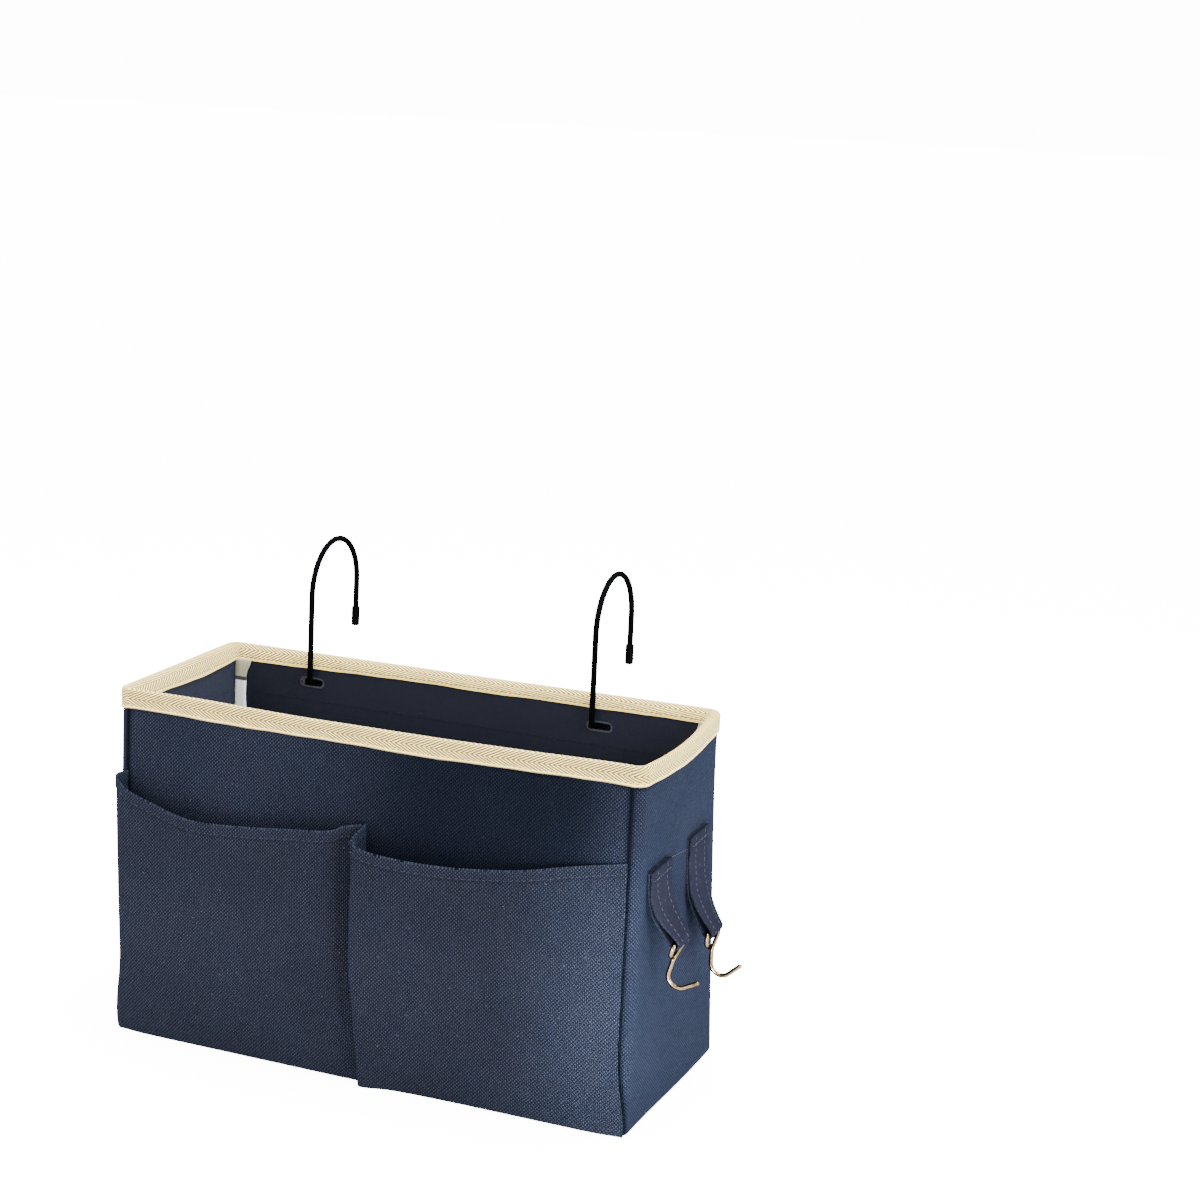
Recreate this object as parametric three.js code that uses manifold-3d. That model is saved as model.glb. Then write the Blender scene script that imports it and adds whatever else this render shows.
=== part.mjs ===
// Bedside caddy: a stiffened canvas box with two bellows pockets in front, a taped rim,
// two wire hooks that hang it on a bed rail, and two small hooks in cloth loops on one side.
// X runs along the front, Y runs towards the bed and Z is up, in millimetres.
// The origin is the centre of the underside.

import * as THREE from 'three';
import { mergeVertices } from 'three/addons/utils/BufferGeometryUtils.js';
import Module from 'manifold-3d';

const wasm = await Module();
wasm.setup();

// Driving dimensions of the box
const bodyWidth = 255;
const bodyDepth = 105;
const bodyHeight = 165;
const cornerRadius = 5;
const layerGap = 0.3;
const canvasThickness = 0.8;
const liningThickness = 0.6;
const boardRimDrop = 3;
const cutOverrun = 1;

// Rim binding and inner corner tapes
const tapeThickness = 0.6;
const tapeHeight = 10;
const innerRimRadius = 1.5;
const cornerTapeWidth = 6.5;
const cornerTapeTopWidth = 9;
const cornerTapeTaper = 9;
const cornerTapeThickness = 1.2;

// Front pockets
const pocketHeight = 126;
const pocketSag = 14;
const pocketFullHeight = 108;
const leftFoldDepth = 7.6;
const rightFoldDepth = 11.5;
const leftFoldReach = 0.7;
const leftFoldInset = 0.8;
const valleyLean = 6.3;
const foldLean = 4.1;
const foldLap = 1.4;
const valleyGap = 2.5;
const leanHeight = 70;
const foldShoulder = 4;
const valleyShoulder = 14;

// Rail hooks and the buttonholes that they pass through
const railWire = 2.8;
const wireClearance = 0.3;
const hookThroat = 48.6;
const hookRise = 54;
const capLift = 5.3;
const hookLegLength = 38;
const leftHookOffset = 80;
const rightHookOffset = 67.5;
const rightHookSlack = 3;
const shankOffset = 5.1;
const slotLength = 11.6;
const slotHeight = 4;
const slotBelowTape = 4;
const windowMargin = 1.5;
const capDiameter = 4;
const capLength = 9.6;
const capWall = 1.2;
const capClearance = 0.2;
const capRound = 0.8;

// Side loops of folded canvas
const strapWidth = 25;
const strapFoldWidth = 15;
const strapThickness = 1.2;
const strapTop = 117;
const strapSewn = 5;
const strapSplay = 34;
const frontStrapInset = 23.5;
const rearStrapInset = 29.5;
const frontStrapDrop = 32;
const rearStrapDrop = 45;
const frontStandOff = 12.4;
const rearStandOff = 11.2;

// Small J hooks
const smallWire = 2;
const barClearance = 0.4;
const eyeBend = 2;
const eyeDepth = 4.4;
const stemTop = 9;
const stemLength = 21;
const jRadius = 5;
const jRun = 7;
const jRiseAngle = 42;
const frontHookTilt = 16;
const rearHookTilt = 0;

// Number of facets
const cornerSteps = 5;
const wireSides = 10;
const bendSteps = 5;
const archSteps = 12;
const turnedSides = 20;
const clothRows = 9;
const leftClothColumns = 33;
const rightClothColumns = 36;
const strapSteps = 9;

// Heights of the layers at the floor and the rim
const canvasTop = bodyHeight - tapeThickness - layerGap;
const boardThickness = railWire + 2 * wireClearance - 2 * layerGap;
const wallBottom = canvasThickness + layerGap;
const boardBottom = wallBottom + boardThickness + layerGap;
const liningBottom = boardBottom + liningThickness + layerGap;
const boardTop = canvasTop - boardRimDrop;
const tapeBottom = bodyHeight - tapeHeight;

// Distances of the layers from the outer face of a wall
const boardInset = canvasThickness + layerGap;
const liningInset = boardInset + boardThickness + layerGap;
const wallThickness = liningInset + liningThickness;
const seamX = bodyWidth / 2 - cornerRadius;
const seamY = bodyDepth / 2 - cornerRadius;
const innerX = bodyWidth / 2 - wallThickness;
const innerY = bodyDepth / 2 - wallThickness;

const part = new THREE.Group();

function material(color, roughness, metalness) {
  return new THREE.MeshStandardMaterial({ color, roughness, metalness });
}

const canvasNavy = [0x2b3a55, 0.95, 0];
const liningNavy = [0x1c2233, 0.95, 0];
const boardGrey = [0x9a9488, 0.9, 0];
const tapeCream = [0xe6dcc2, 0.9, 0];
const tapeWhite = [0xd5d5cd, 0.9, 0];
const coatedBlack = [0x0a0a0b, 0.3, 0.2];
const rubberBlack = [0x101011, 0.6, 0];
const paleMetal = [0xcdbf9f, 0.25, 1];

function addPart(name, geometry, look, parent = part) {
  const mesh = new THREE.Mesh(geometry, material(...look));
  mesh.name = name;
  parent.add(mesh);
  return mesh;
}

// Booleans work on closed meshes that share their vertices
function toSolid(geometry) {
  const bare = geometry.clone();
  bare.deleteAttribute('normal');
  bare.deleteAttribute('uv');
  const merged = mergeVertices(bare);
  return new wasm.Manifold(new wasm.Mesh({
    numProp: 3,
    vertProperties: new Float32Array(merged.attributes.position.array),
    triVerts: new Uint32Array(merged.index.array),
  }));
}

function toGeometry(solid) {
  const mesh = solid.getMesh();
  const geometry = new THREE.BufferGeometry();
  geometry.setAttribute('position', new THREE.BufferAttribute(mesh.vertProperties, 3));
  geometry.setIndex(new THREE.BufferAttribute(mesh.triVerts, 1));
  geometry.computeVertexNormals();
  return geometry;
}

function rectangle(left, right, bottom, top) {
  const shape = new THREE.Shape();
  shape.moveTo(left, bottom);
  shape.lineTo(right, bottom);
  shape.lineTo(right, top);
  shape.lineTo(left, top);
  return shape;
}

function roundedRectangle(halfX, halfY, radius) {
  const shape = new THREE.Shape();
  shape.moveTo(halfX - radius, -halfY);
  shape.absarc(halfX - radius, -halfY + radius, radius, -Math.PI / 2, 0);
  shape.absarc(halfX - radius, halfY - radius, radius, 0, Math.PI / 2);
  shape.absarc(-halfX + radius, halfY - radius, radius, Math.PI / 2, Math.PI);
  shape.absarc(-halfX + radius, -halfY + radius, radius, Math.PI, 1.5 * Math.PI);
  return shape;
}

// Sheets cut from an outline: lying flat, facing the front, or facing a side
function flatSheet(shape, bottom, thickness) {
  const options = { depth: thickness, bevelEnabled: false, curveSegments: cornerSteps };
  return new THREE.ExtrudeGeometry(shape, options).translate(0, 0, bottom);
}

function frontSheet(shape, nearY, thickness) {
  return flatSheet(shape, 0, thickness).rotateX(Math.PI / 2).translate(0, nearY + thickness, 0);
}

function sideSheet(shape, leftX, thickness) {
  return flatSheet(shape, 0, thickness).rotateX(Math.PI / 2).rotateZ(Math.PI / 2)
    .translate(leftX, 0, 0);
}

// Outer canvas: a side panel wraps round both corners and meets the front and back at a seam
function sidePanelOutline() {
  const inset = layerGap / 2;
  const inside = cornerRadius - canvasThickness;
  const outerSweep = Math.acos(inset / cornerRadius);
  const innerSweep = Math.acos(inset / inside);
  const shape = new THREE.Shape();
  shape.absarc(seamX, -seamY, cornerRadius, -outerSweep, 0);
  shape.absarc(seamX, seamY, cornerRadius, 0, outerSweep);
  shape.absarc(seamX, seamY, inside, innerSweep, 0, true);
  shape.absarc(seamX, -seamY, inside, 0, -innerSweep, true);
  return shape;
}

const panelHeight = canvasTop - wallBottom;
const flatPanel = rectangle(-seamX + layerGap / 2, seamX - layerGap / 2, wallBottom, canvasTop);
addPart('outer_front_panel', frontSheet(flatPanel, -bodyDepth / 2, canvasThickness), canvasNavy);
addPart('outer_back_panel',
  frontSheet(flatPanel, bodyDepth / 2 - canvasThickness, canvasThickness), canvasNavy);
addPart('outer_right_panel', flatSheet(sidePanelOutline(), wallBottom, panelHeight), canvasNavy);
addPart('outer_left_panel',
  flatSheet(sidePanelOutline(), wallBottom, panelHeight).rotateZ(Math.PI), canvasNavy);
addPart('outer_base_panel',
  flatSheet(roundedRectangle(bodyWidth / 2, bodyDepth / 2, cornerRadius), 0, canvasThickness),
  canvasNavy);

// Buttonhole centres and the line on which a hook's hidden leg stands
const slotZ = tapeBottom - slotBelowTape;
const slotCentres = [-leftHookOffset, rightHookOffset + rightHookSlack];
const legY = bodyDepth / 2 - boardInset + layerGap - wireClearance - railWire / 2;
const legBottom = slotZ - shankOffset / 2 - hookLegLength;

// Stiffener boards: the back one has a window behind each buttonhole for the hook's leg
function boardWindow(centre) {
  const half = slotLength / 2;
  return rectangle(centre - half, centre + half, legBottom - windowMargin, slotZ + slotHeight / 2);
}

// A sheet facing the front with one opening at each buttonhole
function sheetWithOpenings(outline, openingAt, nearY, thickness) {
  const cuts = slotCentres.map((centre) => toSolid(
    frontSheet(openingAt(centre), nearY - cutOverrun, thickness + 2 * cutOverrun)));
  const sheet = toSolid(frontSheet(outline, nearY, thickness));
  return toGeometry(cuts.reduce((rest, cut) => rest.subtract(cut), sheet));
}

const longBoard = rectangle(-seamX, seamX, boardBottom, boardTop);
const baseRadius = cornerRadius - boardInset;
addPart('front_board',
  frontSheet(longBoard, -bodyDepth / 2 + boardInset, boardThickness), boardGrey);
addPart('back_board', sheetWithOpenings(longBoard, boardWindow,
  bodyDepth / 2 - boardInset - boardThickness, boardThickness), boardGrey);
addPart('left_board', sideSheet(rectangle(-seamY, seamY, boardBottom, boardTop),
  -bodyWidth / 2 + boardInset, boardThickness), boardGrey);
addPart('right_board', sideSheet(rectangle(-seamY, seamY, boardBottom, boardTop),
  bodyWidth / 2 - boardInset - boardThickness, boardThickness), boardGrey);
addPart('base_board', flatSheet(
  roundedRectangle(bodyWidth / 2 - boardInset, bodyDepth / 2 - boardInset, baseRadius),
  wallBottom, boardThickness), boardGrey);

// Lining: the long walls run past the ends of the short ones
function buttonhole(centre) {
  const radius = slotHeight / 2;
  const run = slotLength / 2 - radius;
  const hole = new THREE.Shape();
  hole.absarc(centre + run, slotZ, radius, -Math.PI / 2, Math.PI / 2);
  hole.absarc(centre - run, slotZ, radius, Math.PI / 2, 1.5 * Math.PI);
  return hole;
}

const liningX = innerX + liningThickness;
const liningY = innerY - layerGap;
const longLining = rectangle(-liningX, liningX, liningBottom, canvasTop);
addPart('lining_front',
  frontSheet(longLining, -innerY - liningThickness, liningThickness), liningNavy);
addPart('lining_back',
  sheetWithOpenings(longLining, buttonhole, innerY, liningThickness), liningNavy);
addPart('lining_left', sideSheet(rectangle(-liningY, liningY, liningBottom, canvasTop),
  -innerX - liningThickness, liningThickness), liningNavy);
addPart('lining_right', sideSheet(rectangle(-liningY, liningY, liningBottom, canvasTop),
  innerX, liningThickness), liningNavy);
addPart('lining_base', flatSheet(
  rectangle(-liningX, liningX, -innerY - liningThickness, innerY + liningThickness),
  boardBottom, liningThickness), liningNavy);

// Rim binding: one tape folded over all four walls, open below
function rimRing(outset, inset, bottom, top) {
  const ring = roundedRectangle(
    bodyWidth / 2 + outset, bodyDepth / 2 + outset, cornerRadius + outset);
  const hole = roundedRectangle(innerX - inset, innerY - inset, innerRimRadius);
  ring.holes.push(new THREE.Path(hole.getPoints(cornerSteps)));
  return toSolid(flatSheet(ring, bottom, top - bottom));
}

const tapeReach = layerGap + tapeThickness;
const tapeBlock = rimRing(tapeReach, tapeReach, tapeBottom, bodyHeight);
const tapeChannel = rimRing(layerGap, layerGap, tapeBottom - tapeThickness,
  bodyHeight - tapeThickness);
addPart('rim_binding', toGeometry(tapeBlock.subtract(tapeChannel)), tapeCream);

// Corner tapes: flat strips in the inner corners, a little wider under the rim binding
function cornerTapeOutline() {
  const top = tapeBottom - layerGap;
  const shape = new THREE.Shape();
  shape.moveTo(0, liningBottom);
  shape.lineTo(cornerTapeWidth, liningBottom);
  shape.lineTo(cornerTapeWidth, top - cornerTapeTaper);
  shape.lineTo(cornerTapeTopWidth, top);
  shape.lineTo(0, top);
  return shape;
}

for (const [end, faceY] of [['back', innerY - layerGap - cornerTapeThickness],
  ['front', -innerY + layerGap]]) {
  const strip = frontSheet(cornerTapeOutline(), faceY, cornerTapeThickness)
    .translate(-innerX + layerGap, 0, 0);
  addPart(`corner_binding_${end}_left`, strip, tapeWhite);
  const mirrored = strip.clone().rotateZ(Math.PI);
  const otherEnd = end === 'back' ? 'front' : 'back';
  addPart(`corner_binding_${otherEnd}_right`, mirrored, tapeWhite);
}

// Front pockets: each cloth is a sheet whose plan section opens out as it rises,
// fast near the floor and slower above it
const openingPower = 0.6;
const rowSpreadPower = 1.4;
const pocketFloorZ = wallBottom;
const pocketBackY = -bodyDepth / 2 - layerGap;

function openShare(height) {
  return (Math.max(0, height - pocketFloorZ) / pocketFullHeight) ** openingPower;
}

function leanShare(height) {
  return THREE.MathUtils.smoothstep(height, 0, leanHeight);
}

function valleyX(height) {
  return valleyLean * (1 - leanShare(height));
}

// Left cloth: a bellows fold at the left edge, a flat front, and a turn back into the valley
function leftPocketSection(height) {
  const open = openShare(height);
  const depth = leftFoldDepth * open;
  const end = valleyX(height) - valleyGap;
  const foldX = -seamX + THREE.MathUtils.lerp(leftFoldInset, -leftFoldReach, open);
  const shoulder = end - valleyShoulder;
  const width = shoulder - foldX;
  const depthShares = [[0, 0.78], [0.05, 0.88], [0.25, 1.02], [0.5, 0.94], [0.75, 0.86], [1, 0.84]];
  const points = depthShares.map(([along, out]) => new THREE.Vector2(
    foldX + width * along, pocketBackY - depth * out));
  points.unshift(new THREE.Vector2(-seamX, pocketBackY - canvasThickness / 2));
  points.push(new THREE.Vector2(end - valleyShoulder / 2, pocketBackY - depth / 2));
  points.push(new THREE.Vector2(end, pocketBackY));
  return new THREE.SplineCurve(points);
}

// Right cloth: a gusset out of the valley to a sharp fold, then a taper to the side seam
function rightPocketSection(height) {
  const open = openShare(height);
  const start = valleyX(height);
  const foldX = start - foldLap - (valleyLean - foldLean) * (1 - leanShare(height));
  const width = seamX - foldX - foldShoulder;
  const backY = pocketBackY - canvasThickness * Math.max(0, 1 - open);
  const openShares = [[0, 1], [0.1, 0.9], [0.3, 0.68], [0.55, 0.42], [0.8, 0.17], [1, 0]];
  const closedShares = [0.36, 0.12, 0.02, 0, 0, 0];
  const points = openShares.map(([along, out], index) => new THREE.Vector2(
    foldX + foldShoulder + width * along,
    backY - rightFoldDepth * THREE.MathUtils.lerp(closedShares[index], out, open)));
  points.unshift(new THREE.Vector2(foldX, points[0].y));
  points.unshift(new THREE.Vector2(start, backY));
  return new THREE.SplineCurve(points);
}

// The hem hangs between its sewn ends: shares of the width and of the sag
function hemCurve(sagShares) {
  const points = sagShares.map(([along, sag]) => new THREE.Vector2(
    along, pocketHeight - pocketSag * sag));
  return new THREE.SplineCurve(points);
}

const leftHem = hemCurve([[0, 0], [0.08, 0.03], [0.2, 0.55], [0.36, 1.05], [0.6, 0.97],
  [0.8, 0.7], [0.92, 0.48], [1, 0.4]]);
const rightHem = hemCurve([[0, 0.38], [0.12, 0.66], [0.24, 0.92], [0.42, 1.04], [0.6, 1.1],
  [0.78, 0.94], [0.92, 0.51], [1, 0.17]]);

// A sheet of cloth with its inner face on the section and its outer face one thickness in front
function clothSheet(sectionAt, hem, columns) {
  const positions = [];
  const index = [];
  const share = (column) => column / (columns - 1);
  const faceAt = (column, height, offset) => {
    const section = sectionAt(height);
    const at = (c) => section.getPoint(THREE.MathUtils.clamp(share(c), 0, 1));
    const here = at(column);
    const before = column > 0 ? here.clone().sub(at(column - 1)).normalize() : null;
    const after = column < columns - 1 ? at(column + 1).sub(here).normalize() : null;
    const heading = (before ?? after).clone().add(after ?? before).normalize();
    const mitre = Math.max(heading.dot(after ?? before), Math.SQRT1_2);
    return [here.x + heading.y * offset / mitre, here.y - heading.x * offset / mitre, height];
  };
  for (const offset of [0, canvasThickness]) {
    for (let row = 0; row < clothRows; row += 1) {
      const rise = (row / (clothRows - 1)) ** rowSpreadPower;
      for (let column = 0; column < columns; column += 1) {
        const top = hem.getPoint(share(column)).y;
        const height = THREE.MathUtils.lerp(pocketFloorZ, top, rise);
        positions.push(...faceAt(column, height, offset));
      }
    }
  }
  const inner = (row, column) => row * columns + column;
  const outer = (row, column) => inner(row, column) + clothRows * columns;
  const quad = (a, b, c, d) => index.push(a, b, c, a, c, d);
  for (let row = 0; row < clothRows - 1; row += 1) {
    for (let column = 0; column < columns - 1; column += 1) {
      quad(outer(row, column), outer(row, column + 1),
        outer(row + 1, column + 1), outer(row + 1, column));
      quad(inner(row, column), inner(row + 1, column),
        inner(row + 1, column + 1), inner(row, column + 1));
    }
    const last = columns - 1;
    quad(inner(row, 0), outer(row, 0), outer(row + 1, 0), inner(row + 1, 0));
    quad(outer(row, last), inner(row, last), inner(row + 1, last), outer(row + 1, last));
  }
  const rim = clothRows - 1;
  for (let column = 0; column < columns - 1; column += 1) {
    quad(inner(0, column), inner(0, column + 1), outer(0, column + 1), outer(0, column));
    quad(inner(rim, column), outer(rim, column), outer(rim, column + 1), inner(rim, column + 1));
  }
  const geometry = new THREE.BufferGeometry();
  geometry.setAttribute('position', new THREE.Float32BufferAttribute(positions, 3));
  geometry.setIndex(index);
  geometry.computeVertexNormals();
  return geometry;
}

addPart('left_pocket_panel', clothSheet(leftPocketSection, leftHem, leftClothColumns), canvasNavy);
addPart('right_pocket_panel', clothSheet(rightPocketSection, rightHem, rightClothColumns), canvasNavy);

// A wire along straight runs and round bends. Its stations are close only where it bends.
class WirePath extends THREE.Curve {
  constructor(corners) {
    super();
    this.stations = [corners[0].at.clone()];
    for (let i = 1; i < corners.length - 1; i += 1) {
      const { at, radius, steps = bendSteps } = corners[i];
      const into = at.clone().sub(corners[i - 1].at).normalize();
      const out = corners[i + 1].at.clone().sub(at).normalize();
      const turn = into.angleTo(out);
      const side = out.clone().addScaledVector(into, -Math.cos(turn)).normalize();
      const start = at.clone().addScaledVector(into, -radius * Math.tan(turn / 2));
      for (let step = 0; step <= steps; step += 1) {
        const angle = turn * step / steps;
        const point = start.clone().addScaledVector(into, radius * Math.sin(angle))
          .addScaledVector(side, radius * (1 - Math.cos(angle)));
        if (point.distanceTo(this.stations.at(-1)) > radius * Math.sin(turn / steps) / 2) {
          this.stations.push(point);
        }
      }
    }
    this.stations.push(corners.at(-1).at.clone());
  }

  getPoint(t) {
    const place = THREE.MathUtils.clamp(t, 0, 1) * (this.stations.length - 1);
    const index = Math.min(Math.floor(place), this.stations.length - 2);
    return this.stations[index].clone().lerp(this.stations[index + 1], place - index);
  }

  getUtoTmapping(u) {
    return u;
  }
}

function circle(radius) {
  return new THREE.Shape().absarc(0, 0, radius, 0, 2 * Math.PI);
}

function wireGeometry(path, diameter) {
  return new THREE.ExtrudeGeometry(circle(diameter / 2), {
    steps: path.stations.length - 1,
    curveSegments: wireSides,
    extrudePath: path,
    bevelEnabled: false,
  });
}

// Rail hook about its hidden leg: leg, step through the buttonhole, shank, arch and far leg
const archRadius = hookThroat / 2;
const apexZ = bodyHeight + hookRise;
const capBottom = bodyHeight + capLift;
const wireEnd = capBottom + capWall + wireClearance;

function railHookGeometry() {
  const shankY = -shankOffset;
  const farY = shankY + hookThroat;
  const corner = (y, z, radius, steps) => ({ at: new THREE.Vector3(0, y, z), radius, steps });
  const path = new WirePath([
    corner(0, legBottom),
    corner(0, slotZ, shankOffset / 2),
    corner(shankY, slotZ, shankOffset / 2),
    corner(shankY, apexZ, archRadius, archSteps),
    corner(farY, apexZ, archRadius, archSteps),
    corner(farY, wireEnd),
  ]);
  return wireGeometry(path, railWire);
}

function capGeometry() {
  const radius = capDiameter / 2;
  const bore = railWire / 2 + capClearance;
  const profile = new THREE.Path();
  profile.moveTo(0, 0);
  profile.lineTo(radius - capRound, 0);
  profile.absarc(radius - capRound, capRound, capRound, -Math.PI / 2, 0);
  profile.lineTo(radius, capLength);
  profile.lineTo(bore, capLength);
  profile.lineTo(bore, capWall);
  profile.lineTo(0, capWall);
  return new THREE.LatheGeometry(profile.getPoints(cornerSteps), turnedSides)
    .rotateX(Math.PI / 2);
}

for (const [side, hookX] of [['left', -leftHookOffset], ['right', rightHookOffset]]) {
  const hook = new THREE.Group();
  hook.position.set(hookX, legY, 0);
  part.add(hook);
  addPart(`${side}_rail_hook`, railHookGeometry(), coatedBlack, hook);
  const cap = addPart(`${side}_hook_cap`, capGeometry(), rubberBlack, hook);
  cap.position.set(0, hookThroat - shankOffset, capBottom);
}

// Side loop: a band sewn flat at the top, standing off below and folded round the hook's bar
const foldRadius = smallWire / 2 + barClearance + strapThickness / 2;

function strapPath(drop, standOff) {
  const splay = THREE.MathUtils.degToRad(strapSplay);
  const backLayer = strapThickness / 2;
  const frontLayer = backLayer + strapThickness + layerGap;
  const bar = new THREE.Vector2(standOff - layerGap, -drop);
  const run = drop - strapSewn;
  const outward = new THREE.Vector2(Math.cos(splay), Math.sin(splay));
  const along = new THREE.Vector2(Math.sin(splay), -Math.cos(splay));
  const frontEnd = bar.clone().addScaledVector(outward, foldRadius);
  const backEnd = bar.clone().addScaledVector(outward, -foldRadius);
  const front = new THREE.CubicBezierCurve(
    new THREE.Vector2(frontLayer, -strapSewn), new THREE.Vector2(frontLayer, -strapSewn - run / 2),
    frontEnd.clone().addScaledVector(along, -run / 3), frontEnd);
  const back = new THREE.CubicBezierCurve(
    backEnd, backEnd.clone().addScaledVector(along, -run / 4),
    new THREE.Vector2(backLayer, -strapSewn - run / 2), new THREE.Vector2(backLayer, -strapSewn));
  const points = [new THREE.Vector2(frontLayer, 0), ...front.getPoints(strapSteps)];
  for (let step = 1; step < strapSteps; step += 1) {
    const angle = splay - Math.PI * step / strapSteps;
    points.push(new THREE.Vector2(bar.x + foldRadius * Math.cos(angle),
      bar.y + foldRadius * Math.sin(angle)));
  }
  points.push(...back.getPoints(strapSteps), new THREE.Vector2(backLayer, 0));
  return points;
}

function strapGeometry(drop, standOff) {
  const path = strapPath(drop, standOff);
  const positions = [];
  const index = [];
  path.forEach((point, i) => {
    const before = path[Math.max(i - 1, 0)];
    const after = path[Math.min(i + 1, path.length - 1)];
    const heading = after.clone().sub(before).normalize();
    const gather = THREE.MathUtils.smoothstep(-point.y, drop / 2, drop);
    const half = THREE.MathUtils.lerp(strapWidth, strapFoldWidth, gather) / 2;
    for (const [side, face] of [[-1, 1], [1, 1], [1, -1], [-1, -1]]) {
      const offset = face * strapThickness / 2;
      positions.push(point.x - heading.y * offset, side * half, point.y + heading.x * offset);
    }
  });
  const quad = (a, b, c, d) => index.push(a, b, c, a, c, d);
  for (let i = 0; i < path.length - 1; i += 1) {
    const ring = 4 * i;
    for (let side = 0; side < 4; side += 1) {
      const next = (side + 1) % 4;
      quad(ring + side, ring + 4 + side, ring + 4 + next, ring + next);
    }
  }
  const last = 4 * (path.length - 1);
  quad(0, 1, 2, 3);
  quad(last + 3, last + 2, last + 1, last);
  const geometry = new THREE.BufferGeometry();
  geometry.setAttribute('position', new THREE.Float32BufferAttribute(positions, 3));
  geometry.setIndex(index);
  geometry.computeVertexNormals();
  return geometry;
}

// J hook about its bar: an eye round the fold, a stem, and a J that opens away from the wall
function smallHookGeometry() {
  const half = strapFoldWidth / 2 + barClearance + smallWire / 2;
  const rise = THREE.MathUtils.degToRad(jRiseAngle);
  const tangent = jRadius * Math.tan(rise / 2);
  const reach = tangent + jRun;
  const point = (x, y, z) => new THREE.Vector3(x, y, z);
  const nearCorner = point(0, -half, -eyeDepth);
  const endShare = 0.7;
  const path = new WirePath([
    { at: nearCorner.clone().lerp(point(0, 0, -stemTop), endShare) },
    { at: nearCorner, radius: eyeBend },
    { at: point(0, -half, 0), radius: eyeBend },
    { at: point(0, half, 0), radius: eyeBend },
    { at: point(0, half, -eyeDepth), radius: eyeBend },
    { at: point(0, 0, -stemTop), radius: eyeBend },
    { at: point(0, 0, -stemLength), radius: jRadius },
    { at: point(jRadius + tangent, 0, -stemLength), radius: jRadius },
    { at: point(jRadius + tangent + reach * Math.cos(rise), 0,
      -stemLength + reach * Math.sin(rise)) },
  ]);
  const tip = new THREE.SphereGeometry(smallWire / 2, wireSides, bendSteps)
    .translate(...path.stations.at(-1));
  return toGeometry(toSolid(wireGeometry(path, smallWire)).add(toSolid(tip)));
}

const sideLoops = [
  ['front', frontStrapInset - bodyDepth / 2, frontStrapDrop, frontStandOff, frontHookTilt],
  ['rear', bodyDepth / 2 - rearStrapInset, rearStrapDrop, rearStandOff, rearHookTilt],
];
for (const [end, place, drop, standOff, tilt] of sideLoops) {
  const loop = new THREE.Group();
  loop.position.set(bodyWidth / 2 + layerGap, place, strapTop);
  part.add(loop);
  addPart(`${end}_strap_loop`, strapGeometry(drop, standOff), canvasNavy, loop);
  const hook = addPart(`${end}_accessory_hook`, smallHookGeometry(), paleMetal, loop);
  hook.position.set(standOff - layerGap, 0, -drop);
  hook.rotation.y = THREE.MathUtils.degToRad(tilt);
}

export default part;
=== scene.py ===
"""Bedside caddy: a stiffened canvas box with bellows pockets, a taped rim, wire hooks for the bed
rail and small hooks in cloth loops. Lengths are in metres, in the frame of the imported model."""

import bpy
import numpy as np
from mathutils import Matrix


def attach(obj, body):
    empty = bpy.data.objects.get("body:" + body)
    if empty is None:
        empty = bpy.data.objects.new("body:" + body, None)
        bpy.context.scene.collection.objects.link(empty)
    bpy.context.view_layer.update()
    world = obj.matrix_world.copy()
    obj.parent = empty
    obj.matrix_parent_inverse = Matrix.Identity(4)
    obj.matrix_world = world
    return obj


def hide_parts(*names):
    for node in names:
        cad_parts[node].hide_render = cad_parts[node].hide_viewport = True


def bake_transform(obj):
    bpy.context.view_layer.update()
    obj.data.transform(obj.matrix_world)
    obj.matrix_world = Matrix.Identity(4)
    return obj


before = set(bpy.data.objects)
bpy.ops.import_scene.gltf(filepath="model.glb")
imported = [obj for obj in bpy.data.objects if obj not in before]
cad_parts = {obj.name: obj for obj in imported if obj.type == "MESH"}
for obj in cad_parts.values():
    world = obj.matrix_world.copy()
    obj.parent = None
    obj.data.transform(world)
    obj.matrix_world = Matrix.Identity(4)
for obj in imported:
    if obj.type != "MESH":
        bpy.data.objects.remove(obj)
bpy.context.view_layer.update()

mm = 0.001

# View
# A pale floor, soft boxes and a white surround, and a camera that stands where the photograph's
# did: to the right of the front and a little above the rim, turned slightly about its own axis.
camera_azimuth, camera_elevation, camera_roll = np.radians([21.742, 10.131, 2.462])
camera_place = (0.4332, -0.9569, 0.4582)
camera_lens, camera_shift_x, camera_shift_y = 70.964, 0.0544, -0.1018
floor_reach = 14.0
sky_light, sky_glow, floor_glow = 3.5, 14.0, 12.0

back = np.array([np.sin(camera_azimuth) * np.cos(camera_elevation),
                 -np.cos(camera_azimuth) * np.cos(camera_elevation), np.sin(camera_elevation)])
level = np.array([np.cos(camera_azimuth), np.sin(camera_azimuth), 0.0])
upright = np.cross(back, level)
right = np.cos(camera_roll) * level + np.sin(camera_roll) * upright
up = np.cos(camera_roll) * upright - np.sin(camera_roll) * level
camera = bpy.data.objects.new("camera", bpy.data.cameras.new("camera"))
bpy.context.scene.collection.objects.link(camera)
camera.data.lens = camera_lens
camera.data.shift_x, camera.data.shift_y = camera_shift_x, camera_shift_y
camera.matrix_world = Matrix.Translation(camera_place) @ Matrix(
    np.stack([right, up, back], axis=1).tolist()).to_4x4()
bpy.context.scene.camera = camera


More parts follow.
